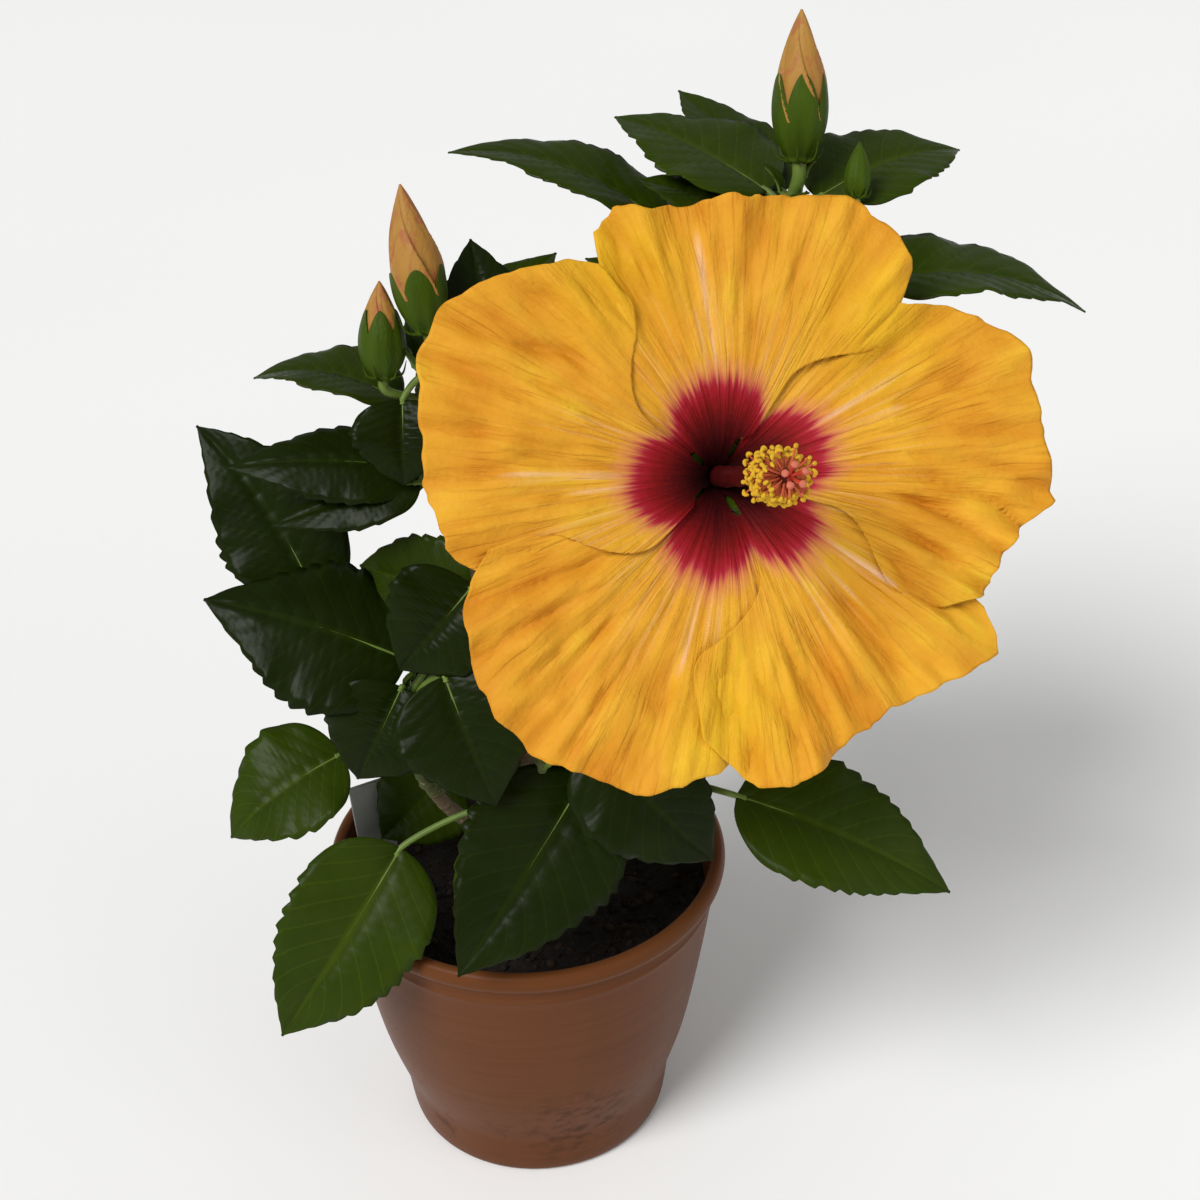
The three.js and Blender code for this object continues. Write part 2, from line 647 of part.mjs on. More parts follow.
/** Column of stamens with its ring of anthers and five styles. */
function columnSolid() {
  const axis = new THREE.LineCurve3(bloomPoint(0, 0, COLUMN.from), bloomPoint(0, -2, COLUMN.to));
  const radiusAt = (s) => mix(COLUMN.footRadius, COLUMN.topRadius, s);
  const stalk = limb(axis, { radiusAt, ...FACETS.column });
  const span = COLUMN.to - COLUMN.from;
  const roll = dice(COLUMN.seed);
  const anthers = Array.from({ length: COLUMN.antherCount }, (_, i) => {
    const angle = i * GOLDEN_ANGLE;
    const height = mix(COLUMN.antherFrom, COLUMN.antherTo, i / (COLUMN.antherCount - 1));
    const reach = COLUMN.antherReach * (COLUMN.antherShortest + COLUMN.antherSpread * roll());
    const root = axis.getPoint((height - COLUMN.from) / span);
    const end = root
      .clone()
      .addScaledVector(bloomAxes.right, reach * Math.cos(angle))
      .addScaledVector(bloomAxes.top, reach * Math.sin(angle))
      .addScaledVector(bloomAxes.out, COLUMN.antherLift * (1 + roll()));
    return knobOnStalk(root, end, COLUMN.filamentRadius, COLUMN.antherRadius);
  });
  const styles = Array.from({ length: COLUMN.styleCount }, (_, i) => {
    const angle = (i / COLUMN.styleCount) * 2 * Math.PI;
    const root = axis.getPoint(COLUMN.styleFrom);
    const end = root
      .clone()
      .addScaledVector(bloomAxes.right, COLUMN.styleSpread * Math.cos(angle))
      .addScaledVector(bloomAxes.top, COLUMN.styleSpread * Math.sin(angle))
      .addScaledVector(bloomAxes.out, COLUMN.styleLength);
    return knobOnStalk(root, end, COLUMN.styleRadius, COLUMN.padRadius);
  });
  return join([stalk, ...anthers, ...styles]);
}

function knobOnStalk(root, end, stalkRadius, knobRadius) {
  const stalk = limb(new THREE.LineCurve3(root, end), { radiusAt: () => stalkRadius, ...FACETS.filament });
  const knob = new THREE.OctahedronGeometry(knobRadius, 0).translate(end.x, end.y, end.z);
  return stalk.add(solid(knob));
}

/** Green cup behind the bloom with five lobes, and the stalk that carries it. */
function calyxSolid() {
  const floor = corolla(BLOOM.clawRadius, 0) - CALYX.floorDrop;
  const rim = corolla(CALYX.mouthRadius, 0) - CALYX.mouthDrop;
  const outline = [
    [0, CALYX_OUTLINE[0][1]],
    ...CALYX_OUTLINE,
    [CALYX.mouthRadius, rim - CALYX.rimDepth],
    [CALYX.mouthRadius, rim],
    [BLOOM.clawRadius, floor],
    [0, floor],
  ];
  const cup = spun(outline, CALYX.facets);
  const body = solid(reshape(cup, (x, y, z) => bloomPoint(x, y, z)));
  const lobes = Array.from({ length: CALYX.lobeCount }, (_, i) => calyxLobe(i));
  const curve = bloomShootCurve();
  const from = BLOOM_SHOOT.split + CLEARANCE / curve.getLength();
  const stalk = limb(curve, { from, radiusAt: shootRadius(BLOOM_SHOOT), ...FACETS.bloomStalk });
  return join([body, ...lobes, stalk]);
}

/** Pointed lobe that spreads from the cup behind the petals. */
function calyxLobe(i) {
  const angle = (i / CALYX.lobeCount) * 2 * Math.PI + CALYX.lobeTurn;
  const place = ([radius, height]) => bloomPoint(radius * Math.cos(angle), radius * Math.sin(angle), height);
  const lobe = {
    base: place(CALYX.lobeFoot),
    tip: place(CALYX.lobeTip),
    wide: CALYX.lobeWide,
    up: bloomAxes.out,
    sag: CALYX.lobeSag,
    fold: 0,
  };
  return blade(lobe, CALYX.lobeRows);
}

/** The bloom's shoot, run on into the foot of the green cup. */
function bloomShootCurve() {
  const end = bloomPoint(0, 0, CALYX.stalkEnd);
  return new THREE.CatmullRomCurve3([...BLOOM_SHOOT.path.map(vector), end], false, 'centripetal');
}

// Buds.

/** Frame of a bud: its foot, its axis and two directions across it. */
function budAxes(bud) {
  const foot = vector(bud.foot);
  const axis = vector(bud.tip).sub(foot);
  const length = axis.length();
  axis.normalize();
  const right = new THREE.Vector3(1, 0, 0).addScaledVector(axis, -axis.x).normalize();
  return { foot, axis, length, right, back: axis.clone().cross(right) };
}

/** Radius of the rolled petals at share s of the bud. */
function budRadius(bud, s) {
  return bud.radius * Math.pow(Math.sin(Math.PI * Math.pow(s, BUD.swell)), BUD.swell) * mix(1, BUD.narrowing, s);
}

/** Closed body of revolution on a bud's axis: `shape` gives radius and height for a row and an angle. */
function budBody(bud, rows, sides, shape) {
  const { foot, axis, right, back } = budAxes(bud);
  const dummy = Array.from({ length: rows }, (_, j) => new THREE.Vector2(j === 0 || j === rows - 1 ? 0 : 1, j));
  const body = new THREE.LatheGeometry(dummy, sides);
  return solid(
    reshape(body, (x, y, z, index) => {
      const angle = ((Math.floor(index / rows) % sides) / sides) * 2 * Math.PI;
      const [radius, height] = shape(index % rows, angle);
      return foot
        .clone()
        .addScaledVector(axis, height)
        .addScaledVector(right, radius * Math.cos(angle))
        .addScaledVector(back, radius * Math.sin(angle));
    }),
  );
}

function budPetals(bud) {
  const { length } = budAxes(bud);
  return budBody(bud, BUD.rows, BUD.sides, (j) => {
    const s = mix(CUP.floor, 1, THREE.MathUtils.clamp((j - 1) / (BUD.rows - 3), 0, 1));
    const end = j === 0 || j === BUD.rows - 1;
    return [end ? 0 : Math.max(BUD.leastRadius, budRadius(bud, s)), s * length];
  });
}

function budCalyx(bud) {
  const { length } = budAxes(bud);
  const floor = CUP.floor - CLEARANCE / length;
  const rows = CUP.outerRows + 4;
  return budBody(bud, rows, CUP.sides, (j, angle) => {
    const top = bud.share * (1 + bud.lobe * Math.cos(5 * angle));
    if (j < CUP.outerRows) {
      const s = (j / (CUP.outerRows - 1)) * top;
      return [j === 0 ? 0 : budRadius(bud, Math.max(s, CUP.foot)) + CUP.coat, s * length];
    }
    const lining = [top, mix(top, CUP.floor, 0.5), CUP.floor, CUP.floor];
    const row = j - CUP.outerRows;
    const height = row < 2 ? lining[row] : floor;
    return [j === rows - 1 ? 0 : budRadius(bud, lining[row]) + 2 * CLEARANCE, height * length];
  });
}

// Assembly.

const bodies = new Map();
bodies.set('pot', potSolid());
bodies.set('soil', soilSolid());
bodies.set('plant_label', labelSolid(0));
bodies.set('trunk', trunkSolid(0));
for (const [name, shoot] of Object.entries(SHOOTS)) {
  bodies.set('bough_' + name, boughSolid(shoot, shootCurve(shoot)));
  bodies.set('foliage_' + name, massSolid(name));
}
bodies.set('bough_bloom', boughSolid(BLOOM_SHOOT, bloomShootCurve()));
for (const [name, petal] of Object.entries(PETALS)) bodies.set(name, petalSolid(petal));
bodies.set('staminal_column', columnSolid());
bodies.set('bloom_calyx', calyxSolid());
for (const [name, bud] of Object.entries(BUDS)) {
  bodies.set('bud_' + name + '_calyx', budCalyx(bud));
  if (bud.lobe) bodies.set('bud_' + name, budPetals(bud));
}
for (const name of Object.keys(SPIRALS)) {
  const key = 'foliage_' + name;
  const others = [...bodies].filter(([other]) => other !== key).map(([, body]) => body);
  bodies.set(key, fillMass(name, bodies.get(key), others));
}

const hibiscus = new THREE.Group();
for (const [name, body] of bodies) {
  const kind = Object.keys(FINISHES).find((start) => name.startsWith(start));
  const [color, roughness] = FINISHES[name.endsWith('_calyx') ? 'calyx' : kind];
  const piece = new THREE.Mesh(geometryOf(body), new THREE.MeshStandardMaterial({ color, roughness, metalness: 0 }));
  piece.name = name;
  hibiscus.add(piece);
}

export default hibiscus;
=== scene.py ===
# %% [markdown]
# # A potted hibiscus in full bloom
#
# The plant is a small shrub in a brown plastic pot: a short woody foot, ten thin boughs, coarse toothed
# leaves, four buds and one bloom wider than the pot. The solids of the model fix where every limb, leaf and
# petal is. This lesson grows the same limbs and leaves again by the same rules, finer, and gives each its
# living finish. All sizes are written in millimetres, as a grower would measure them, and turned to metres
# in one place.

# %% Load the frame
import json
import math
import bpy
import numpy as np
from mathutils import Matrix, Vector

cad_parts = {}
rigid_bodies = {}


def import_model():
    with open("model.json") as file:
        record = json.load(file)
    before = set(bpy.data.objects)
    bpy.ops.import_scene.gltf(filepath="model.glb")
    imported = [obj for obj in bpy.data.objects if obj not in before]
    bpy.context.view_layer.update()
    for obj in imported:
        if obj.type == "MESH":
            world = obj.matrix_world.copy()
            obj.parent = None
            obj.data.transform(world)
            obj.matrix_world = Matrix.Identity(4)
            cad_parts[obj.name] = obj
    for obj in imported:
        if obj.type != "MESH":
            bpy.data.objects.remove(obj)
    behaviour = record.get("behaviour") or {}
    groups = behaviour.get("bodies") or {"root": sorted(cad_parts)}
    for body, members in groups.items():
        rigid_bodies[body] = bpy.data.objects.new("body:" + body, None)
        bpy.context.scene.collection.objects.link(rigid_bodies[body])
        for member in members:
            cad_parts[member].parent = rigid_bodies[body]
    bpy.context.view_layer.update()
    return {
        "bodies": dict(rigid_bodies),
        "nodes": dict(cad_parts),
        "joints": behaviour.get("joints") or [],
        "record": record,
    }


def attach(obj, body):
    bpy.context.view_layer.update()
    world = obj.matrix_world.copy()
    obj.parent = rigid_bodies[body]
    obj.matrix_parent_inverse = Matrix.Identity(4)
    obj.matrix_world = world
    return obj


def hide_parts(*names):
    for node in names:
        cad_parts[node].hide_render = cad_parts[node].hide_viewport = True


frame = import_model()
MM = 0.001

# %% [markdown]
# ## Vectors, noise and smooth paths
#
# A plant is mostly paths with something grown along them. A smooth curve through a few named points gives a
# bough its sweep, and the same curve tells where a leaf stalk leaves it. The curve is the centripetal kind,
# which never loops between its points. Blender's own curves would do too, but plain arrays can be measured
# at any share.

# %% Paths and small numbers
LUMP_TABLE = 64  # random heights a side, before the pattern repeats
DICE_STEP, DICE_RANGE = 16807, 2**31 - 1  # the classic pair for a plain random row


def unit(v):
    """The same direction, one long."""
    return v / np.maximum(np.linalg.norm(v, axis=-1, keepdims=True), 1e-9)


def mix(a, b, share):
    """From a to b by a share."""
    return a + (b - a) * share


def even(count):
    """Shares from 0 to 1, evenly spaced."""
    return np.linspace(0, 1, count)


def around(count):
    """Angles of points spread evenly round a circle."""
    return np.arange(count) * 2 * math.pi / count


def smooth(value, start, end):
    """Share from 0 to 1 that eases in at the start and out at the end."""
    x = np.clip((value - start) / (end - start), 0, 1)
    return x * x * (3 - 2 * x)


def along(path, share):
    """Points at shares of a smooth curve that runs through a row of points."""
    p = np.asarray(path, float)
    place = np.clip(np.asarray(share, float), 0, 1) * (len(p) - 1)
    i = np.minimum(place.astype(int), len(p) - 2)
    w = (place - i)[..., None]
    more = np.vstack([2 * p[0] - p[1], p, 2 * p[-1] - p[-2]])
    p0, p1, p2, p3 = (more[i + k] for k in range(4))
    pairs = ((p0, p1), (p1, p2), (p2, p3))
    d0, d1, d2 = (np.sqrt(np.linalg.norm(b - a, axis=-1, keepdims=True)) for a, b in pairs)
    t1 = ((p1 - p0) / d0 - (p2 - p0) / (d0 + d1) + (p2 - p1) / d1) * d1
    t2 = ((p2 - p1) / d1 - (p3 - p1) / (d1 + d2) + (p3 - p2) / d2) * d1
    return p1 + w * t1 + w**2 * (3 * (p2 - p1) - 2 * t1 - t2) + w**3 * (2 * (p1 - p2) + t1 + t2)


def lumps(x, y, seed):
    """Smooth random heights from -1 to 1, with one lump a unit."""
    table = np.random.default_rng(seed).uniform(-1, 1, (LUMP_TABLE, LUMP_TABLE))
    x, y = np.broadcast_arrays(np.asarray(x, float), np.asarray(y, float))
    i, j = np.floor(x).astype(int), np.floor(y).astype(int)
    a, b = (v * v * (3 - 2 * v) for v in (x - i, y - j))
    corner = lambda m, n: table[(i + m) % LUMP_TABLE, (j + n) % LUMP_TABLE]
    return mix(mix(corner(0, 0), corner(1, 0), a), mix(corner(0, 1), corner(1, 1), a), b)


def dice(seed):
    """The same row of numbers from 0 to 1 that the solids were grown with."""
    state = seed
    while True:
        state = (state * DICE_STEP) % DICE_RANGE
        yield state / DICE_RANGE


print("a dice of seed 1 starts with", round(next(dice(1)), 6))


# %% [markdown]
# ## Sheets and rings
#
# Two shapes make the whole plant. A **sheet** is a leaf or petal: a grid of points thickened to a closed
# thin shell. **Rings** are a limb, bud or pot: circles joined in a row and closed at both ends. Each goes
# into a heap, and a heap becomes one joined mesh, because hundreds of loose leaves would be slow to move
# and to keep. A sheet brings two maps: `leaf`, which says where on the blade a point is and steers the
# veins, and `OFBake`, which gives each side its own patch so that colours can be painted onto it later.

# %% Sheet
PATCH_MARGIN = 0.04  # rim kept free round each patch of the map


def sheet(grid, thick, cells=((0, 0, 1), (0, 0, 1))):
    """Closed thin shell round a grid of points, with its two maps.

    cells are the patches (x, y, size) of the upper and the lower side on the painted map.
    """
    rows, columns = grid.shape[:2]
    lift = unit(np.cross(np.gradient(grid, axis=1), np.gradient(grid, axis=0))) * thick / 2
    points = np.concatenate([(grid + lift).reshape(-1, 3), (grid - lift).reshape(-1, 3)])
    index = np.arange(rows * columns).reshape(rows, columns)
    under = index + rows * columns
    quad = lambda a: np.stack([a[:-1, :-1], a[:-1, 1:], a[1:, 1:], a[1:, :-1]], -1).reshape(-1, 4)
    rim = lambda a, b: np.stack([b[:-1], b[1:], a[1:], a[:-1]], -1)
    top, low = quad(index), quad(under)[:, ::-1]
    edges = [rim(index[0], under[0]), rim(index[-1], under[-1])[:, ::-1],
             rim(index[:, 0], under[:, 0])[:, ::-1], rim(index[:, -1], under[:, -1])]
    faces = np.concatenate([top, low, *edges])
    v, u = np.mgrid[0 : 1 : rows * 1j, 0 : 1 : columns * 1j]
    where = np.stack([u, v], -1).reshape(-1, 2)
    leaf = where[faces % (rows * columns)].reshape(-1, 2)
    side = np.zeros(len(faces), int)
    side[len(top) : len(top) + len(low)] = 1
    x, y, size = (np.repeat(np.array(c)[side], 4) for c in zip(*cells))
    span = PATCH_MARGIN + leaf * (1 - 2 * PATCH_MARGIN)
    bake = np.stack([x + span[:, 0] * size, y + span[:, 1] * size], -1)
    return points, faces, side, leaf, bake


# %% Rings and limbs
def rings(grid, first, last):
    """Closed shape of rings joined in a row, with a point in the middle of each end."""
    count, sides = grid.shape[:2]
    points = np.concatenate([grid.reshape(-1, 3), [first], [last]])
    index = np.arange(count * sides).reshape(count, sides)
    turned = np.roll(index, -1, axis=1)
    wall = np.stack([index[:-1], turned[:-1], turned[1:], index[1:]], -1).reshape(-1, 4)
    mid = np.full(sides, count * sides)
    start_fan = np.stack([mid, turned[0], index[0]], -1)
    end_fan = np.stack([mid + 1, index[-1], turned[-1]], -1)
    return points, [wall, np.concatenate([start_fan, end_fan])]


ASKEW = (0.31, 0.17, 0.93)  # a direction that no limb starts in


def limb(path, radius, sides=8, relief=None):
    """Round limb along a row of points. relief widens or narrows each point of each ring."""
    path = np.asarray(path, float)
    radius = np.broadcast_to(radius, len(path)).astype(float)
    ahead = unit(np.gradient(path, axis=0))
    across = [unit(np.cross(ahead[0], ASKEW))]
    for step in ahead[1:]:
        across.append(unit(across[-1] - step * (across[-1] @ step)))
    across = np.array(across)
    angle = around(sides)[:, None]
    ring = across[:, None] * np.cos(angle) + np.cross(ahead, across)[:, None] * np.sin(angle)
    width = radius[:, None] * (1 if relief is None else 1 + relief)
    return rings(path[:, None] + ring * width[..., None], path[0], path[-1])


# %% Heap
class Heap:
    """Small shapes that become one joined piece."""

    def __init__(self):
        self.points, self.faces, self.slots, self.maps, self.count = [], [], [], [], 0

    def add(self, points, faces, slot=0, maps=None):
        """Adds one shape, in one finish or with a finish for each of its faces."""
        for part in faces if isinstance(faces, list) else [faces]:
            self.faces.append(part + self.count)
            self.slots.append(np.broadcast_to(slot, len(part)))
        if maps is not None:
            self.maps.append(maps)
        self.points.append(points)
        self.count += len(points)

    def piece(self, name, finishes, slot, replaces=()):
        """One mesh of everything in the heap, riding on the plant's one body."""
        mesh = bpy.data.meshes.new(name)
        points = np.concatenate(self.points) * MM
        sizes = np.concatenate([np.full(len(f), f.shape[1]) for f in self.faces])
        mesh.vertices.add(len(points))
        mesh.vertices.foreach_set("co", points.ravel())
        mesh.loops.add(int(sizes.sum()))
        mesh.polygons.add(len(sizes))
        told = {"loop_start": np.concatenate([[0], np.cumsum(sizes)[:-1]]),
                "vertices": np.concatenate([f.ravel() for f in self.faces]),
                "material_index": np.concatenate(self.slots)}
        for key, numbers in told.items():
            mesh.polygons.foreach_set(key, numbers.astype(np.int32))
        mesh.polygons.foreach_set("use_smooth", np.ones(len(sizes), bool))
        for k, label in enumerate(("leaf", "OFBake") if self.maps else ()):
            layer = mesh.uv_layers.new(name=label)
            layer.data.foreach_set("uv", np.concatenate([m[k] for m in self.maps]).ravel())
        mesh.update(calc_edges=True)
        mesh.validate()
        for finish in finishes:
            mesh.materials.append(finish)
        made = bpy.data.objects.new(name, mesh)
        bpy.context.scene.collection.objects.link(made)
        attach(made, "root")
        if replaces:
            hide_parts(*replaces)
        print(f"{name}: {len(points)} points, {int((sizes - 2).sum())} triangles")
        return made


# %% [markdown]
# ## Camera
#
# The picture was taken from half a metre in front, looking down at about 33 degrees, with the camera turned
# a touch to the right and tilted a degree and a half. Those angles come from the pot, whose rim and foot
# are known circles. A matrix built from the three directions of the view sets them all at once.

# %% Place the camera
CAMERA_PLACE = Vector((0.0, -0.5, 0.5113))
YAW, PITCH, ROLL = (math.radians(a) for a in (2.76, 32.93, -1.44))
VIEW_WIDTH = math.radians(31.87)

ahead = Vector((math.sin(YAW) * math.cos(PITCH), math.cos(YAW) * math.cos(PITCH), -math.sin(PITCH)))
level = Vector((math.cos(YAW), -math.sin(YAW), 0))
upright = level.cross(ahead)
view_right = level * math.cos(ROLL) + upright * math.sin(ROLL)
view_up = upright * math.cos(ROLL) - level * math.sin(ROLL)

lens = bpy.data.cameras.new("view")
lens.sensor_width = 36
lens.lens = lens.sensor_width / 2 / math.tan(VIEW_WIDTH / 2)
lens.clip_start = 0.01
camera = bpy.data.objects.new("view", lens)
turned = Matrix((view_right, view_up, -ahead)).transposed().to_4x4()
camera.matrix_world = Matrix.Translation(CAMERA_PLACE) @ turned
bpy.context.scene.collection.objects.link(camera)
bpy.context.scene.camera = camera
print("lens mm:", round(lens.lens, 2))

# %% [markdown]
# ## Finishes: one helper
#
# Every finish is a small tree of nodes under one Principled shader. `add` makes any node: it sets the
# node's properties, links or fills its inputs, and gives back one output, so that the next node can take
# it. Colours are written as they look on screen (sRGB hex) and turned to the linear numbers that light
# needs by `tone`. `finish` starts a material with the values of the real stuff, and `lay` puts its colour
# and its relief on.


# %% Node and colour helpers
def tone(code):
    """Linear colour from an sRGB hex value such as 'E8A92E'."""
    parts = [int(code[i : i + 2], 16) / 255 for i in (0, 2, 4)]
    return [(c / 12.92 if c <= 0.04045 else ((c + 0.055) / 1.055) ** 2.4) for c in parts] + [1]


def add(tree, kind, inputs=(), out=0, stops=(), **settings):
    """Adds a node of a kind and returns one of its outputs, if it has any.

    inputs go in order, or by name or number in a dictionary. Each is a socket to link, a number, a row of
    numbers or a hex colour. stops are the places and colours, or greys, of a colour ramp. settings are
    properties.
    """
    node = tree.nodes.new("ShaderNode" + kind)
    for key, value in settings.items():
        setattr(node, key, value)
    for number, (place, colour) in enumerate(stops):
        while len(node.color_ramp.elements) < len(stops):
            node.color_ramp.elements.new(0.5)
        element = node.color_ramp.elements[number]
        element.position = place
        element.color = tone(colour) if isinstance(colour, str) else [colour] * 3 + [1]
    for key, value in inputs.items() if isinstance(inputs, dict) else enumerate(inputs):
        if isinstance(value, bpy.types.NodeSocket):
            tree.links.new(value, node.inputs[key])
        else:
            node.inputs[key].default_value = tone(value) if isinstance(value, str) else value
    return node.outputs[out] if node.outputs else None


MIX_COLOURS = {"out": 2, "data_type": "RGBA"}  # a Mix node of colours: share at input 0, colours at 6 and 7


def finish(name, **values):
    """New material with one Principled shader. Returns (material, tree, shader)."""
    material = bpy.data.materials.new(name)
    material.use_nodes = True
    tree = material.node_tree
    tree.nodes.clear()
    surface = add(tree, "BsdfPrincipled", {key.replace("_", " "): value for key, value in values.items()})
    add(tree, "OutputMaterial", {"Surface": surface})
    return material, tree, surface.node


def lay(material, shader, colour, relief, depth_mm, strength=1.0):
    """Lays colour on a shader, and fine relief as deep as on the real surface."""
    tree = material.node_tree
    bump = add(tree, "Bump", {"Height": relief, "Strength": strength, "Distance": depth_mm * MM})
    tree.links.new(colour, shader.inputs["Base Color"])
    tree.links.new(bump, shader.inputs["Normal"])
    print(f"{material.name}: {len(tree.nodes)} nodes, relief {depth_mm} mm")
    return material


def grain(tree, size_mm, detail=2.0, stretch=(1, 1, 1)):
    """Pattern with features of a real size, on the object's own metres."""
    place = add(tree, "TexCoord", out="Object")
    spread = add(tree, "Mapping", {"Vector": place, "Scale": stretch})
    return add(tree, "TexNoise", {"Vector": spread, "Scale": 1 / (size_mm * MM), "Detail": detail})


# %% [markdown]
# ## The pot
#
# A grower's pot of the 12 cm class: 100 mm tall, thin, moulded in brown polypropylene with a rolled rim, a
# groove under it, a wall that flares upwards and a straight foot band with five drain holes. It could be
# drawn as a profile and spun with a modifier. Here the profile's corners are cut off three times over,
# which rounds them as a mould maker's radius does, and the rings are written directly, so the wall
# thickness stays true. The drain holes are drilled afterwards with a boolean modifier, as on a bench.

# %% Polypropylene, injection moulded
POT_HEIGHT = 100
SCUFF, SCUFF_REACH = (11, -41, 24), 34  # where the wall has been rubbed, and how far round


def worn_skin(tree, place, height):
    """Share of skin that is rubbed off: patches along the foot and one ragged spot on the wall."""
    rubbed = add(tree, "ValToRGB", [grain(tree, 9, 6)], stops=[(0.6, 0.0), (0.74, 1.0)])
    foot = add(tree, "ValToRGB", [height], stops=[(0.0, 0.55), (0.2, 0.4125), (0.42, 0.0)])
    away = add(tree, "VectorMath", (place, np.array(SCUFF) * MM), "Value", operation="DISTANCE")
    away = add(tree, "Math", (away, SCUFF_REACH * MM), operation="DIVIDE")
    spot = add(tree, "ValToRGB", [away], stops=[(0.0, 1.0), (0.25, 0.8), (0.7, 0.0)])
    ragged = add(tree, "ValToRGB", [grain(tree, 4.5, 4, (1, 1, 1.6))], stops=[(0.46, 0.0), (0.7, 0.75)])
    worn = [add(tree, "Math", pair, operation="MULTIPLY") for pair in ((rubbed, foot), (ragged, spot))]
    return add(tree, "Math", worn, operation="MAXIMUM")


def moulded_polypropylene():
    """Satin brown plastic: smooth skin straight from the mould, dulled by handling, soil dust and rubbing."""
    material, tree, shader = finish("moulded_polypropylene", IOR=1.49, Roughness=0.4, Specular_IOR_Level=0.09)
    place = add(tree, "TexCoord", out="Object")
    upright = add(tree, "SeparateXYZ", [place], "Z")
    height = add(tree, "Math", (upright, POT_HEIGHT * MM), operation="DIVIDE")
    brown = add(tree, "Mix", {0: grain(tree, 38, 3), 6: "4E2810", 7: "60361A"}, **MIX_COLOURS)
    lip = add(tree, "ValToRGB", [height], stops=[(0.9, 0.0), (0.955, 0.6)])
    brown = add(tree, "Mix", {0: lip, 6: brown, 7: "5A3210"}, **MIX_COLOURS)
    level_lines = add(tree, "Math", (grain(tree, 2.5, 4, (0.05, 0.05, 1)), 0.5), operation="MULTIPLY")
    brown = add(tree, "Mix", {0: level_lines, 6: brown, 7: "74482C"}, **MIX_COLOURS)
    worn = worn_skin(tree, place, height)
    brown = add(tree, "Mix", {0: worn, 6: brown, 7: "2A1E14"}, **MIX_COLOURS)
    fine = grain(tree, 1.1)
    dull = add(tree, "Math", (fine, 0.12, 0.34), operation="MULTIPLY_ADD")
    dull = add(tree, "Math", (worn, 0.3, dull), operation="MULTIPLY_ADD")
    tree.links.new(dull, shader.inputs["Roughness"])
    return lay(material, shader, brown, fine, 0.05, 0.5)


# %% Pot profile and piece
POT_FACETS = 144
FLOOR = 3.0
MIDDLE = 2  # radius at which the rings of a floor or a bed begin
CUTS = 3  # how often a corner is cut to round it
# corners of the wall, as (radius, height)
OUTSIDE = [(39.8, 0), (41.3, 2.4), (42.3, 11), (42.9, 16), (43.9, 20), (46.4, 28), (48.9, 37), (51.6, 51),
           (54.7, 70)]
RIM = [(57.1, 86.2), (57.6, 87.6), (57.3, 89), (57.4, 93), (60.0, 94.2), (60.6, 96.5), (59.8, 99.1),
       (58.2, POT_HEIGHT), (56.4, 99.5), (55.8, 97)]
INSIDE = [(54.4, 85), (52.1, 70), (49.0, 51), (43.8, 28), (40.2, 17), (39.7, 11), (37.2, FLOOR)]


def rounded(profile):
    """Cuts each corner of a row of points at a quarter of its sides, again and again."""
    p = np.asarray(profile, float)
    for _ in range(CUTS):
        cut = np.stack([mix(p[:-1], p[1:], 0.25), mix(p[:-1], p[1:], 0.75)], 1).reshape(-1, 2)
        p = np.concatenate([p[:1], cut, p[-1:]])
    return p


def spun(profile, facets, centre=(0, 0)):
    """Rings of a profile of (radius, height) round the upright axis."""
    angle = around(facets)
    circle = np.stack([np.cos(angle), np.sin(angle), np.zeros(facets)], -1)
    grid = circle[None] * profile[:, 0, None, None] + np.array([0, 0, 1]) * profile[:, 1, None, None]
    grid[..., :2] += centre
    ends = [np.array([*centre, profile[k, 1]]) for k in (0, -1)]
    return rings(grid, *ends)


pot = Heap()
pot.add(*spun(rounded([(MIDDLE, 0), *OUTSIDE, *RIM, *INSIDE, (MIDDLE, FLOOR)]), POT_FACETS))
pot_piece = pot.piece("flowerpot", [moulded_polypropylene()], "pot", ["pot"])

# %% Drill the drain holes
DRAINS, DRAIN_RADIUS, DRAIN_CIRCLE, DRILL_FACETS = 5, 3.5, 25, 32
DRILL = np.array([(DRAIN_RADIUS, -2), (DRAIN_RADIUS, 2 * FLOOR)])  # from under the floor to over it


def cut_holes(made, cutters):
    """Cuts the cutters out of a piece and removes them."""
    bpy.context.view_layer.objects.active = made
    for cutter in cutters:
        step = made.modifiers.new("hole", "BOOLEAN")
        step.operation, step.object, step.solver = "DIFFERENCE", cutter, "EXACT"
        bpy.ops.object.modifier_apply(modifier=step.name)
        bpy.data.objects.remove(cutter)


drills = []
for turn in around(DRAINS):
    centre = (DRAIN_CIRCLE * math.cos(turn), DRAIN_CIRCLE * math.sin(turn))
    points, faces = spun(DRILL, DRILL_FACETS, centre)
    mesh = bpy.data.meshes.new("drill")
    mesh.from_pydata(points * MM, [], [list(f) for part in faces for f in part])
    drills.append(bpy.data.objects.new("drill", mesh))
    bpy.context.scene.collection.objects.link(drills[-1])
cut_holes(pot_piece, drills)
print("pot height mm:", round(pot_piece.dimensions.z / MM, 1))

# %% [markdown]
# ## Soil
#
# Potting compost is nearly black when damp, a loose bed of peat crumbs with bits of bark and root fibre.
# The bed is a closed body that fills the pot, its top lifted by lumps of three sizes, and a few hundred
# crumbs and fibres lie half sunk in it. A picture on a flat disc would look painted on, since the light
# comes in low over the rim.


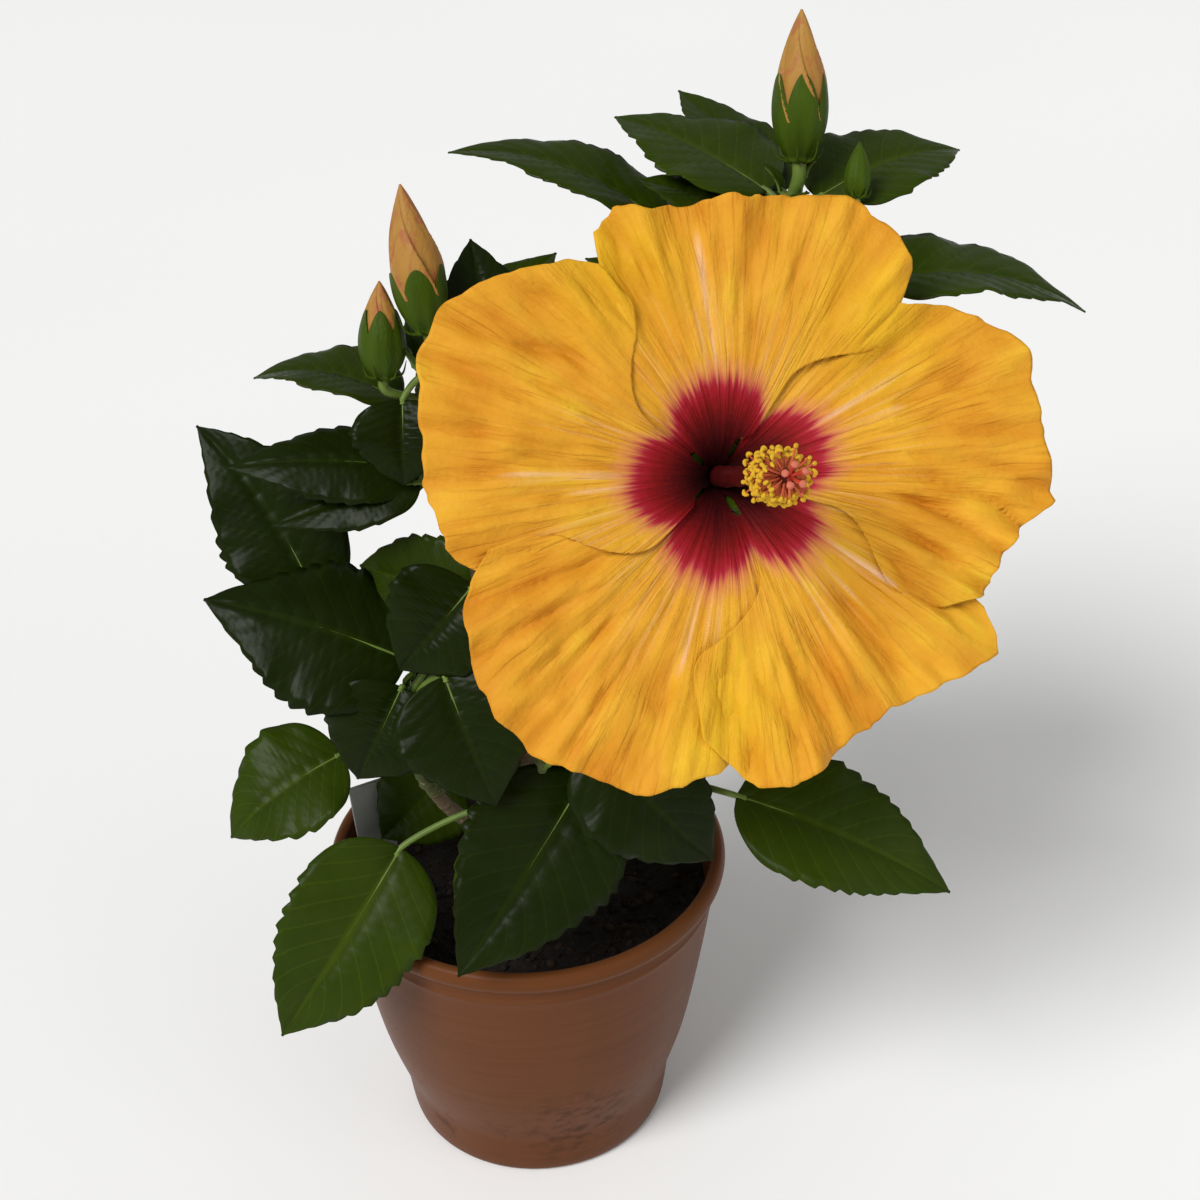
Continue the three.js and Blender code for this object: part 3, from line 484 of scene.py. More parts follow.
# %% Damp peat compost
def peat_compost(name, dark, light):
    """Rough, dull, dark brown organic matter with paler specks of bark."""
    material, tree, shader = finish(name, IOR=1.4, Roughness=0.93)
    earth = add(tree, "Mix", {0: grain(tree, 3.5, 6), 6: dark, 7: light}, **MIX_COLOURS)
    specks = add(tree, "ValToRGB", [grain(tree, 1.6)], stops=[(0.66, 0.0), (0.74, 0.7)])
    earth = add(tree, "Mix", {0: specks, 6: earth, 7: "3C2B1C"}, **MIX_COLOURS)
    return lay(material, shader, earth, grain(tree, 0.9, 5), 0.6)


# %% Bed
SOIL_LEVEL = 88.0
BED_RADIUS, BED_RINGS, BED_FACETS = 54.3, 76, 200
BED_SIDE = [(MIDDLE, 3.5), (36.8, 3.5), (39.3, 11), (39.8, 17), (43.4, 28), (45.9, 37), (48.6, 51),
            (51.7, 70), (54.0, 84)]


def ground(x, y):
    """Height of the bed, in lumps of 11, 4 and 1.6 mm that flatten towards the wall."""
    rough = 1.3 * lumps(x / 11, y / 11, 1) + 0.9 * lumps(x / 4 + 9, y / 4, 2)
    rough = rough + 0.4 * lumps(x / 1.6, y / 1.6 + 5, 3)
    return SOIL_LEVEL - 0.6 + rough - 2.2 * smooth(np.hypot(x, y), 40, 55)


bed_rows = np.linspace(BED_RADIUS, 0.5, BED_RINGS)
profile = np.concatenate([BED_SIDE, np.stack([bed_rows, np.full(BED_RINGS, SOIL_LEVEL)], -1)])
bed_points, bed_faces = spun(profile, BED_FACETS)
is_top = bed_points[:, 2] > SOIL_LEVEL - 0.01
bed_points[is_top, 2] = ground(bed_points[is_top, 0], bed_points[is_top, 1])
soil = Heap()
soil.add(bed_points, bed_faces)
heights = bed_points[is_top, 2]
print("bed from", round(heights.min(), 1), "to", round(heights.max(), 1), "mm high")

# %% Crumbs and fibres
CRUMBS, CRUMB_REACH, CRUMB_SIDES, BARK_SHARE = 620, 53.5, 7, 0.3
CRUMB = np.array([(0.6, -0.5), (1.0, 0.0), (0.55, 0.6)])  # profile of a crumb of size 1
FIBRES, FIBRE_REACH, FIBRE_STEPS = 70, 50, 6
FIBRE_RADIUS, FIBRE_ROWS, FIBRE_SIDES = 0.14, 14, 5
WALL_AT = 53  # no step of a fibre lies farther out

chance = np.random.default_rng(4)
for _ in range(CRUMBS):
    angle, radius = chance.uniform(0, 2 * math.pi), CRUMB_REACH * math.sqrt(chance.uniform())
    x, y = radius * math.cos(angle), radius * math.sin(angle)
    size = chance.uniform(0.4, 1.7)
    core, faces = spun(CRUMB * size, CRUMB_SIDES)
    shape = core * chance.uniform(0.7, 1.25, core.shape) * [chance.uniform(0.8, 1.7), 1, 1]
    turn = Matrix.Rotation(chance.uniform(0, 2 * math.pi), 3, "Z")
    place = [x, y, ground(x, y) + 0.2 * size]
    soil.add(shape @ np.array(turn).T + place, faces, int(chance.uniform() < BARK_SHARE))
for _ in range(FIBRES):
    angle, radius = chance.uniform(0, 2 * math.pi), FIBRE_REACH * math.sqrt(chance.uniform())
    start = np.array([radius * math.cos(angle), radius * math.sin(angle)])
    wander = chance.normal(0, 1, (FIBRE_STEPS, 2)) + chance.normal(0, 1.2, 2)
    steps = np.cumsum(wander, axis=0) + start
    steps = steps[np.hypot(*steps.T) < WALL_AT]
    if len(steps) > 3:
        heights = ground(steps[:, 0], steps[:, 1]) + 0.5
        path = along(np.column_stack([steps, heights]), even(FIBRE_ROWS))
        soil.add(*limb(path, FIBRE_RADIUS, FIBRE_SIDES), 1)
compost_finishes = [peat_compost("damp_peat", "0C0806", "1E150E"),
                    peat_compost("bark_crumb", "20160D", "3C2A1A")]
soil.piece("compost", compost_finishes, "soil", ["soil"])

# %% [markdown]
# ## Plant label
#
# A blank strip of pale grey polystyrene with a pointed foot, pushed in behind the plant's left side. Its
# corners are a little rounded, so it is drawn as rings with a rounded oblong section, from the point to the
# square end.


# %% Polystyrene strip
def polystyrene_sheet():
    """Punched from matt sheet about a millimetre thick, faintly scratched."""
    material, tree, shader = finish("polystyrene_sheet", IOR=1.59, Roughness=0.45)
    grey = add(tree, "Mix", {0: grain(tree, 7, 4), 6: "8E918E", 7: "A4A6A2"}, **MIX_COLOURS)
    return lay(material, shader, grey, grain(tree, 0.6, 3, (1, 1, 0.1)), 0.03, 0.6)


# %% Strip in the soil
LABEL_FOOT, LABEL_TOP = np.array([-44.0, 9, 66]), np.array([-47.0, 3, 124])
LABEL_WIDE, LABEL_THICK, LABEL_POINT = 12.0, 1.0, 0.55
LABEL_ROWS, LABEL_SIDES, LABEL_CORNER = 60, 48, 0.22  # a low corner number makes a crisp oblong

rise = unit(LABEL_TOP - LABEL_FOOT)
facing = np.array([1, 0.35, 0])
across = unit(facing - rise * (facing @ rise))
face = np.cross(across, rise)
s = np.concatenate([[0], np.linspace(0.01, 0.99, LABEL_ROWS), [1]])
half = LABEL_WIDE / 2 * np.minimum(1, 0.12 + 0.88 * s / LABEL_POINT)
half[[0, -1]] -= 0.35
angle = around(LABEL_SIDES)
oblong = lambda wave: np.sign(wave) * np.abs(wave) ** LABEL_CORNER
grid = (LABEL_FOOT + s[:, None, None] * (LABEL_TOP - LABEL_FOOT)
        + half[:, None, None] * oblong(np.cos(angle))[:, None] * across
        - LABEL_THICK / 2 * oblong(np.sin(angle))[:, None] * face)
strip = Heap()
strip.add(*rings(grid, LABEL_FOOT, LABEL_TOP))
strip.piece("blank_strip", [polystyrene_sheet()], "label", ["plant_label"])

# %% [markdown]
# ## Trunk and boughs
#
# A pruned hibiscus stands on a short grey-brown foot that flares into the soil, and its boughs leave it
# within a hand's breadth. Their bark is thin, with shallow ridges along the limb, pale breathing pores and
# a raised ring wherever a leaf once stood. The same named paths that place the solid limbs are followed
# here with many more rings, and the ridges are real relief. Bumps alone would leave a perfectly smooth
# outline.

# %% Where the limbs run
TRUNK_FOOT, TRUNK_TOP = np.array([0.0, 2, 88.35]), np.array([-1.0, 1, 126])
TRUNK_FLARE, TRUNK_RADIUS, FLARE_HEIGHT = 9.0, 5.6, 9.0
TIP_RADIUS = 1.5
# name: (path, radius at the trunk, share where the bough ends and its leafy part begins)
SHOOTS = {
    "top": ([(0, 3, 120), (16, 20, 150), (40, 30, 205), (66, 24, 262), (79, 13, 304)], 2.9, 0.74),
    "upper_left": ([(-1, 3, 116), (-9, 15, 150), (-14, 16, 200), (-19, 8, 242), (-21, 2, 262)], 2.7, 0.6),
    "left": ([(-1, 1, 109), (-24, 6, 128), (-44, 9, 156), (-58, 7, 185)], 2.5, 0.6),
    "lower_left": ([(0, 0, 103), (-18, -14, 122), (-30, -24, 150), (-33, -26, 176)], 2.4, 0.52),
    "front": ([(0, 0, 99), (-1, -18, 114), (1, -31, 136), (6, -38, 162)], 2.3, 0.55),
    "lower_right": ([(0, 1, 103), (20, -12, 120), (36, -28, 138), (44, -38, 152)], 2.3, 0.6),
    "right": ([(0, 1, 108), (30, 10, 132), (66, 16, 190), (88, 4, 262)], 2.6, 0.5),
    "back_left": ([(-1, 3, 104), (-12, 28, 124), (-16, 46, 146), (-10, 60, 178)], 2.5, 0.5),
    "back_right": ([(0, 3, 110), (18, 34, 138), (34, 60, 172), (46, 76, 214)], 2.6, 0.5),
}

# %% Where the bloom stands
BLOOM_PATH = [(0, 1, 113), (16, 3, 142), (33, 8, 185), (43, 2, 214), (47, -8, 228)]
BLOOM_RADIUS, BLOOM_SPLIT = 2.8, 0.72
BLOOM_CENTRE = np.array([54.2, -55.3, 257.3])
BLOOM_TURN, BLOOM_LIFT = math.radians(7.8), math.radians(30.6)
STALK_END = -42  # where the stalk enters the cup, along the bloom's axis

ahead, rise = math.cos(BLOOM_LIFT), math.sin(BLOOM_LIFT)
bloom_out = np.array([math.sin(BLOOM_TURN) * ahead, -math.cos(BLOOM_TURN) * ahead, rise])
bloom_right = np.array([math.cos(BLOOM_TURN), math.sin(BLOOM_TURN), 0])
bloom_top = np.cross(bloom_out, bloom_right)


def bloom_point(x, y, z):
    """Point in the bloom's own frame: x right, y up its face, z out along its axis."""
    return (BLOOM_CENTRE + np.multiply.outer(x, bloom_right) + np.multiply.outer(y, bloom_top)
            + np.multiply.outer(z, bloom_out))


bloom_path = [*BLOOM_PATH, bloom_point(0, 0, STALK_END)]
print("the stalk ends at", bloom_path[-1].round(1))


# %% Bark of a young stem
def young_bark(name, old, new, ridge):
    """Thin cork over green wood: grey-brown below, greener where it is younger, with pale pores."""
    material, tree, shader = finish(name, IOR=1.45, Roughness=0.78)
    wood = add(tree, "Mix", {0: grain(tree, 5, 5, (1, 1, 0.3)), 6: old, 7: new}, **MIX_COLOURS)
    pores = add(tree, "ValToRGB", [grain(tree, 1.3, 1)], stops=[(0.67, 0.0), (0.72, 0.6)])
    wood = add(tree, "Mix", {0: pores, 6: wood, 7: "A8977A"}, **MIX_COLOURS)
    return lay(material, shader, wood, grain(tree, 0.7, 4, (1, 1, 0.25)), ridge)


SCAR_EVERY, SCAR_SWELL = 13, 0.13  # spacing of leaf scars, and the share by which they widen a limb


def ridged(count, sides, seed, depth, length):
    """Relief for a limb: ridges that run along it and rings where leaves once stood."""
    angle = around(sides)
    place = np.linspace(0, length, count)[:, None]
    x, y = np.cos(angle), np.sin(angle)
    coarse = lumps(2.2 * x + 7, place / 9, seed) + lumps(2.2 * y + 3, place / 9, seed + 1)
    fine = lumps(5 * x, place / 2.5, seed + 2) + lumps(5 * y + 8, place / 2.5, seed + 3)
    scars = np.exp(-((((place + 3 * seed) % SCAR_EVERY) - SCAR_EVERY / 2) / 0.7) ** 2)
    return depth * (coarse + 0.5 * fine) + SCAR_SWELL * scars


# %% Join trunk and boughs in one mesh
TRUNK_ROWS, TRUNK_SIDES = 90, 40
BOUGH_ROWS, BOUGH_SIDES = 110, 20
COLLAR_SWELL, COLLAR_PLACE, COLLAR_REACH = 0.35, 5, 3.5  # ring at the foot of a bough

bark = Heap()
s = even(TRUNK_ROWS)
trunk_radius = mix(TRUNK_RADIUS, TRUNK_FLARE, np.exp(-s * (TRUNK_TOP[2] - TRUNK_FOOT[2]) / FLARE_HEIGHT))
trunk_radius *= np.sqrt(np.clip(1 - ((s - 0.93) / 0.07).clip(0) ** 2, 0.02, 1))  # rounds the top off
trunk_path = np.concatenate([[TRUNK_FOOT - [0, 0, 2.5]], mix(TRUNK_FOOT, TRUNK_TOP, s[:, None])])
relief = ridged(TRUNK_ROWS + 1, TRUNK_SIDES, 5, 0.07, 38)
bark.add(*limb(trunk_path, [trunk_radius[0] + 0.6, *trunk_radius], TRUNK_SIDES, relief))
for number, (path, radius, split) in enumerate([*SHOOTS.values(), (bloom_path, BLOOM_RADIUS, BLOOM_SPLIT)]):
    s = np.linspace(0, split + 0.01, BOUGH_ROWS)
    run = along(path, s)
    length = np.linalg.norm(np.diff(run, axis=0), axis=1).sum()
    from_trunk = np.linalg.norm(run - run[0], axis=1)
    collar = 1 + COLLAR_SWELL * np.exp(-((from_trunk - COLLAR_PLACE) / COLLAR_REACH) ** 2)
    relief = ridged(BOUGH_ROWS, BOUGH_SIDES, 11 + number, 0.05, length)
    bark.add(*limb(run, mix(radius, TIP_RADIUS, s) * collar, BOUGH_SIDES, relief))
bough_names = ["bough_" + name for name in (*SHOOTS, "bloom")]
thin_cork = young_bark("thin_cork", "5A4A36", "7C6C50", 0.35)
bark.piece("trunk_and_boughs", [thin_cork], "bark", ["trunk", *bough_names])

# %% [markdown]
# ## A hibiscus leaf
#
# The blade is coarse and glossy: widest near its base, drawn out to a point, with saw teeth that lean
# towards the tip and seven pairs of veins pressed into it, so it puffs up a little between them. One
# function turns a row of numbers into such a blade, and every leaf of the plant is made by it. A single
# leaf copied everywhere would be quicker, but the eye finds the repeats at once.

# %% Midrib
BLADE_ROWS, BLADE_COLUMNS, BLADE_THICK = 88, 15, 0.42
YOUNG_ROWS, YOUNG_COLUMNS, YOUNG_LENGTH = 36, 11, 20  # small leaves need fewer points
SHOULDER, TAPER = 0.52, 1.05
VEINS, VEIN_SLANT = 7, 0.26
TOOTH_DEPTH, TOOTH_EVERY = 0.085, 6.6
SKY, FRONT, HALF_FRONT = (0, 0, 1), (0, -1, 0.45), (0, -0.6, 1)


def midrib(leaf, s):
    """Points of the midrib, which way it runs and which way the upper side faces."""
    base, tip, up = (np.asarray(leaf[key], float) for key in ("base", "tip", "up"))
    chord = unit(tip - base)
    length = np.linalg.norm(tip - base)
    normal = unit(up - chord * (up @ chord))
    middle = mix(base, tip, 0.5) + normal * 2 * leaf["sag"] * length
    middle = middle + np.cross(chord, normal) * 2 * leaf["bend"] * length
    s = np.asarray(s, float)[:, None]
    rib = (1 - s) ** 2 * base + 2 * s * (1 - s) * middle + s**2 * tip
    runs = unit((1 - s) * (middle - base) + s * (tip - middle))
    return rib, runs, unit(normal - runs * (runs @ normal)[:, None])


# %% Blade
def blade_grid(leaf, seed):
    """Grid of points of a blade, from its base to its tip and across."""
    length = np.linalg.norm(np.subtract(leaf["tip"], leaf["base"]))
    rows, columns = (BLADE_ROWS, BLADE_COLUMNS) if length > YOUNG_LENGTH else (YOUNG_ROWS, YOUNG_COLUMNS)
    s = even(rows)
    t = np.linspace(-1, 1, columns)
    rib, runs, normal = midrib(leaf, s)
    side = np.cross(runs, normal)
    widest = SHOULDER / (SHOULDER + TAPER)
    outline = (s**SHOULDER * (1 - s) ** TAPER) / (widest**SHOULDER * (1 - widest) ** TAPER)
    half = np.maximum(0.35, leaf["wide"] / 2 * outline)[:, None]
    edge = np.abs(t)
    # saw teeth that lean towards the tip, none near the base
    teeth = max(5, round(length / TOOTH_EVERY))
    spaced = (s[:, None] - 0.2) / 0.78 * teeth + 0.35 * (t > 0)
    saw = (spaced + 0.5 * lumps(s * 4, seed * 1.7, seed + 5)[:, None]) % 1
    tooth = np.where(saw < 0.8, (saw / 0.8) ** 0.8, (1 - saw) / 0.2) - 0.55
    window = smooth(s, 0.2, 0.38)[:, None]
    cut = 1 + TOOTH_DEPTH * window * tooth * edge**4
    uneven = 1 + 0.05 * lumps(s * 5, seed * 3.3, seed)[:, None] * edge
    # the blade puffs up between its veins and sinks along its midrib
    phi = (s[:, None] - VEIN_SLANT * edge**0.9) / (1 - VEIN_SLANT)
    between = np.abs(np.sin(math.pi * VEINS * phi)) ** 0.6 * smooth(edge, 0, 0.15) * (1 - edge**4)
    puff = np.minimum(0.055 * half, 0.75) * between
    groove = -0.35 * np.exp(-((t * half / 0.7) ** 2)) * np.minimum(1, half / 4)
    # slow waves, a ruffled margin and a drooping edge
    wave = 0.05 * half * t * t * np.sin(2 * math.pi * (2.2 * s[:, None] + 0.3 * np.sign(t)))
    ruffle = 0.022 * half * edge**3 * np.sin(2 * math.pi * (5.1 * s[:, None] + 0.37 * seed + 0.5 * (t > 0)))
    droop = -0.03 * half * edge**2.5
    fold = math.radians(leaf["fold"])
    rise = edge * half * math.sin(fold) + wave + ruffle + droop + puff + groove
    reach = t * half * math.cos(fold) * cut * uneven
    return rib[:, None] + side[:, None] * reach[..., None] + normal[:, None] * rise[..., None]


# %% Stalk
STALK_ROWS, STALK_SIDES, RIB_ROWS, RIB_SIDES = 26, 10, 24, 6


def stalk_limbs(leaf, start):
    """Leaf stalk from its node on the shoot, and the raised midrib under the blade that it runs on into."""
    rib, runs, normal = midrib(leaf, [0, 0.04, 0.2, 0.5, 0.88])
    bend = mix(start, rib[0], 0.55) - runs[0] * 0.12 * np.linalg.norm(start - rib[0])
    share = even(STALK_ROWS)
    stalk = along([start, bend, rib[0], rib[1] - normal[1] * 0.35], share)
    swollen = 1 + 0.45 * np.exp(-((share / 0.09) ** 2)) + 0.25 * np.exp(-(((share - 0.93) / 0.07) ** 2))
    under = along(rib - normal * 0.45, even(RIB_ROWS))
    return (limb(stalk, np.linspace(1.05, 0.8, STALK_ROWS) * swollen, STALK_SIDES),
            limb(under, np.linspace(0.75, 0.15, RIB_ROWS), RIB_SIDES))


# %% [markdown]
# ## Which leaves the plant has
#
# The leaves that make the outline are told one by one: where on its shoot a leaf stands, where its blade
# begins and ends, how wide it is, where its upper side faces, how it arches and folds. The fuller, hidden
# parts of the crown are told by a rule: leaves climb a shoot in a spiral, each turned on from the last,
# with a little chance in length and droop. A rule's leaf that would run into another part is left out by
# its number.

# %% Leaves told one by one
# (share of the shoot, base, tip, width, facing, arch, fold in degrees, sideways bend)
LEAVES = {
    "top": [
        (0.86, (46, 27, 288), (-12, 57, 300), 29, SKY, 0.11, 8),
        (0.92, (66, 10, 296), (38, 26, 302), 26, SKY, 0.04, 8),
        (0.95, (72, 19, 300), (34, 52, 310), 39, SKY, 0.05, 6),
        (0.97, (77, 26, 297), (53, 68, 311), 27, (0, 0.1, 1), 0.02, 8),
        (0.95, (84, 13, 300), (127, 40, 301), 34, (0, -0.15, 1), 0.08, 8),
        (0.84, (48, 14, 272), (24, 31, 278), 20, SKY, 0.03, 8),
    ],
    "upper_left": [
        (0.93, (-3, 6, 262), (-7, 29, 286), 24, SKY, 0.05, 8),
        (0.9, (-6, 10, 266), (16, 31, 280), 24, SKY, 0.05, 8),
        (0.9, (-28, 5, 251), (-68, 20, 252), 27, SKY, 0.12, 10),
        (0.97, (-27, -1, 254), (-28, -8, 232), 28, FRONT, 0.1, 12),
        (0.8, (-24, 1, 232), (-76, 3, 234), 24, HALF_FRONT, 0.08, -10),
        (0.72, (-24, -3, 230), (-65, -4, 219), 19, HALF_FRONT, 0.05, -8),
    ],
    "left": [(0.95, (-56, 4, 189), (-87, 30, 233), 36, FRONT, 0.03, 8, 0.06)],
    "lower_left": [
        (0.9, (-30, -22, 185), (-85, -11, 201), 46, HALF_FRONT, 0.08, -12),
        (0.97, (-12, -14, 199), (-43, 6, 199), 30, FRONT, 0.08, 8),
        (0.95, (-11, -25, 210), (-32, -31, 188), 36, FRONT, 0.08, 10),
        (0.8, (-32, -29, 181), (-46, -35, 155), 34, FRONT, 0.08, 12),
        (0.86, (-20, -35, 188), (-8, -49, 154), 38, FRONT, 0.06, 10),
        (0.7, (-52, -14, 148), (-85, -23, 127), 35, HALF_FRONT, 0.14, 10),
        (0.58, (-22, 2, 127), (-44, 0, 105), 30, FRONT, 0.05, 8),
    ],
    "front": [
        (0.75, (-36, -33, 128), (-73, -57, 81), 43, FRONT, 0.08, 10),
        (0.9, (-3, -37, 137), (-21, -50, 115), 22, FRONT, 0.03, 10),
        (0.97, (17, -36, 152), (-21, -67, 109), 46, FRONT, 0.05, 8),
    ],
    "lower_right": [
        (0.92, (19, -41, 168), (51, -52, 133), 38, FRONT, 0.1, 8),
        (0.95, (58, -48, 152), (116, -62, 125), 36, HALF_FRONT, 0.1, 8),
    ],
    "right": [(0.98, (93, -4, 283), (154, -2, 271), 37, SKY, 0.11, 8)],
    "back_left": [],
    "back_right": [],
}

# %% Leaves told by rule
# (tries, from, to, heading, turn, stalk, length, breadth, dip, seed, numbers left out)
SPIRALS = {
    "top": (3, 0.76, 0.84, 62, 34, 12, 46, 0.62, 16, 5, ()),
    "left": (2, 0.66, 0.76, 80, 36, 10, 40, 0.6, 24, 9, ()),
    "right": (5, 0.54, 0.84, 20, 42, 12, 50, 0.62, 24, 17, (3,)),
    "back_left": (6, 0.54, 0.98, 176, -38, 11, 48, 0.64, 30, 23, (0, 4)),
    "back_right": (6, 0.54, 0.98, 4, 40, 12, 54, 0.64, 24, 31, ()),
}
# leaves on the boughs behind the bloom, told the same way
BOUGH_SPIRALS = {
    "top": (4, 0.44, 0.68, 45, 35, 10, 42, 0.62, 22, 43, ()),
    "upper_left": (3, 0.32, 0.54, 50, 32, 10, 36, 0.62, 24, 47, ()),
    "right": (3, 0.3, 0.46, 60, 34, 10, 38, 0.62, 20, 53, ()),
}
HEADING_SPREAD, DIP_SPREAD, STALK_RISE = 16, 24, 0.7
YOUNG_LEAVES = 4  # small ones round each growing tip
GOLDEN_DEGREES = 137.5  # the turn by which a plant spaces what it grows


def told_leaf(at, base, tip, wide, up, sag, fold, bend=0):
    """One leaf, as a dictionary of its row."""
    return dict(at=at, base=base, tip=tip, wide=wide, up=up, sag=sag, fold=fold, bend=bend)


def spiral_leaves(path, tries, start, end, heading, turn, stalk, length, breadth, dip, seed, left_out):
    """The leaves that climb a shoot in a spiral, without those that have no room."""
    roll, made = dice(seed), []
    for i in range(tries):
        at = mix(start, end, i / (tries - 1))
        way = math.radians(heading + i * turn + HEADING_SPREAD * (next(roll) - 0.5))
        out = np.array([math.cos(way), math.sin(way), 0])
        base = along(path, at) + out * stalk + [0, 0, stalk * STALK_RISE]
        long = length * (0.88 + 0.24 * next(roll))
        down = math.radians(dip + DIP_SPREAD * (next(roll) - 0.5))
        tip = base + out * long * math.cos(down) - [0, 0, long * math.sin(down)]
        if i not in left_out:
            made.append(told_leaf(at, base, tip, long * breadth, SKY, 0.12, 10))
    return made


def young_leaves(path, seed):
    """Small new leaves that stand close round the growing tip of a shoot."""
    roll, made = dice(seed), []
    for i in range(YOUNG_LEAVES):
        at = 1 - 0.035 * i
        way = math.radians(GOLDEN_DEGREES * i + 60 * next(roll))
        rise = 1.5 - 0.25 * i
        out = unit(np.array([math.cos(way), math.sin(way), rise]))
        base = along(path, at) + out * (2.5 + 1.4 * i)
        length = 5.5 + 2.6 * i + 2 * next(roll)
        up = np.array([-math.cos(way), -math.sin(way), 0.6])
        made.append(told_leaf(at, base, base + out * length, length * 0.5, up, 0.1, 24))
    return made


print("leaves told one by one:", sum(map(len, LEAVES.values())))


# %% [markdown]
# ## Finishes of the leaves
#
# A hibiscus leaf has a clear waxy skin over deep green, which is why it shines. The veins are paler and
# finer than the relief that they press, and are drawn from the same slant that the blade was built with.
# Three greens, from old and dark to young and bright, are dealt out leaf by leaf; the shoots in full light
# never get the dark one, which is painted light. The underside is paler and dull.


# %% Waxy leaf blade
def leaf_veins(tree):
    """Share from 0 to 1 of pale vein, from the map that tells the place on the blade."""
    across, up = add(tree, "SeparateXYZ", [add(tree, "UVMap", uv_map="leaf")]).node.outputs[:2]
    edge = add(tree, "Math", (across, 2.0, -1.0), operation="MULTIPLY_ADD")
    edge = add(tree, "Math", [edge], operation="ABSOLUTE")
    slant = add(tree, "Math", (edge, 0.9), operation="POWER")
    slant = add(tree, "Math", (slant, VEIN_SLANT), operation="MULTIPLY")
    run = add(tree, "Math", (up, slant), operation="SUBTRACT")
    turn = add(tree, "Math", (run, math.pi * VEINS / (1 - VEIN_SLANT)), operation="MULTIPLY")
    wave = add(tree, "Math", [turn], operation="SINE")
    wave = add(tree, "Math", [wave], operation="ABSOLUTE")
    thin = add(tree, "ValToRGB", [wave], stops=[(0.0, 0.75), (0.09, 0.5), (0.22, 0.0)])
    middle = add(tree, "ValToRGB", [edge], stops=[(0.0, 1.0), (0.035, 0.8), (0.075, 0.0)])
    return add(tree, "Math", (thin, middle), operation="MAXIMUM")


def waxy_blade(name, deep, fresh, vein, gloss, vein_share):
    """Green blade under a clear wax skin, mottled in patches of about 12 mm."""
    material, tree, shader = finish(name, IOR=1.45, Roughness=gloss, Specular_IOR_Level=0.09)
    green = add(tree, "Mix", {0: grain(tree, 12, 4), 6: deep, 7: fresh}, **MIX_COLOURS)
    share = add(tree, "Math", (leaf_veins(tree), vein_share), operation="MULTIPLY")
    green = add(tree, "Mix", {0: share, 6: green, 7: vein}, **MIX_COLOURS)
    wax = add(tree, "Math", (grain(tree, 2.5, 3), 0.16, gloss - 0.08), operation="MULTIPLY_ADD")
    tree.links.new(wax, shader.inputs["Roughness"])
    return lay(material, shader, green, grain(tree, 1.4, 3), 0.1, 0.5)


def green_stalk():
    """Smooth living stalk, pale green with warmer patches."""
    material, tree, shader = finish("green_stalk", IOR=1.42, Roughness=0.48)
    green = add(tree, "Mix", {0: grain(tree, 9, 3), 6: "4C6420", 7: "6E8436"}, **MIX_COLOURS)
    return lay(material, shader, green, grain(tree, 0.5, 2, (1, 1, 0.2)), 0.08)


# name: deep green, fresh green, vein, roughness of the wax, share of vein
leaf_finishes = [
    waxy_blade("old_leaf", "0F1702", "1B2603", "303E0A", 0.33, 0.2),
    waxy_blade("grown_leaf", "1D2A03", "2F3D05", "4A5A10", 0.32, 0.2),
    waxy_blade("young_leaf", "213004", "334308", "546816", 0.36, 0.2),
    waxy_blade("leaf_underside", "374618", "4B5C28", "6C7E40", 0.64, 0.6),
]
UNDERSIDE = 3  # its number in the row
twig_finishes = [green_stalk(), young_bark("green_bark", "454E24", "626534", 0.12)]

# %% [markdown]
# ## Buds
#
# A bud holds its five petals rolled round one another, so its section is a spiral of five steps that winds
# up to the tip. A green cup with five pointed lobes holds it, and a ring of thin bracts stands below. Each
# is a set of rings whose radius changes with the angle, which gives a sharp step where one petal's margin
# lies on the next.

# %% Bud shapes
# name: (foot, tip, radius, height of the cup, depth of its lobes, mass, share of the shoot, stalk)
BUDS = {
    "top": ((79, 13, 310), (80, 23, 347), 7.5, 0.48, 0.24, "top", 0.96, 1.8),
    "left": ((-19, 1, 272), (-24, 13, 309), 7.6, 0.36, 0.24, "upper_left", 0.95, 1.5),
    "left_small": ((-31.5, 0, 260), (-31, 7, 285), 6.3, 0.6, 0.2, "upper_left", 0.84, 1.3),
    "top_small": ((92.8, 4, 303.4), (93.8, 9, 316.4), 3.2, 1, 0, "top", 0.9, 0.9),
}
CUP_COAT, CUP_FLOOR = 1.0, 0.16
BUD_SIDES, BUD_ROWS, CUP_ROWS, LINING_ROWS = 150, 60, 44, 12


def bud_frame(foot, tip):
    """Foot, axis, length and two directions across a bud."""
    foot, tip = np.asarray(foot, float), np.asarray(tip, float)
    axis = unit(tip - foot)
    right = unit(np.array([1.0, 0, 0]) - axis * axis[0])
    return foot, axis, np.linalg.norm(tip - foot), right, np.cross(axis, right)


def bud_radius(radius, s):
    """Plump below the middle, drawn out to a point."""
    return radius * np.sin(math.pi * s**0.8) ** 0.8 * mix(1, 0.72, s)


def bud_rings(frame, radius, height):
    """Rings on a bud's axis from grids of radius and height."""
    foot, axis, _, right, back = frame
    angle = around(radius.shape[1])
    spokes = right * np.cos(angle)[:, None] + back * np.sin(angle)[:, None]
    grid = foot + axis * height[..., None] + spokes * radius[..., None]
    return rings(grid, grid[0].mean(0), grid[-1].mean(0))


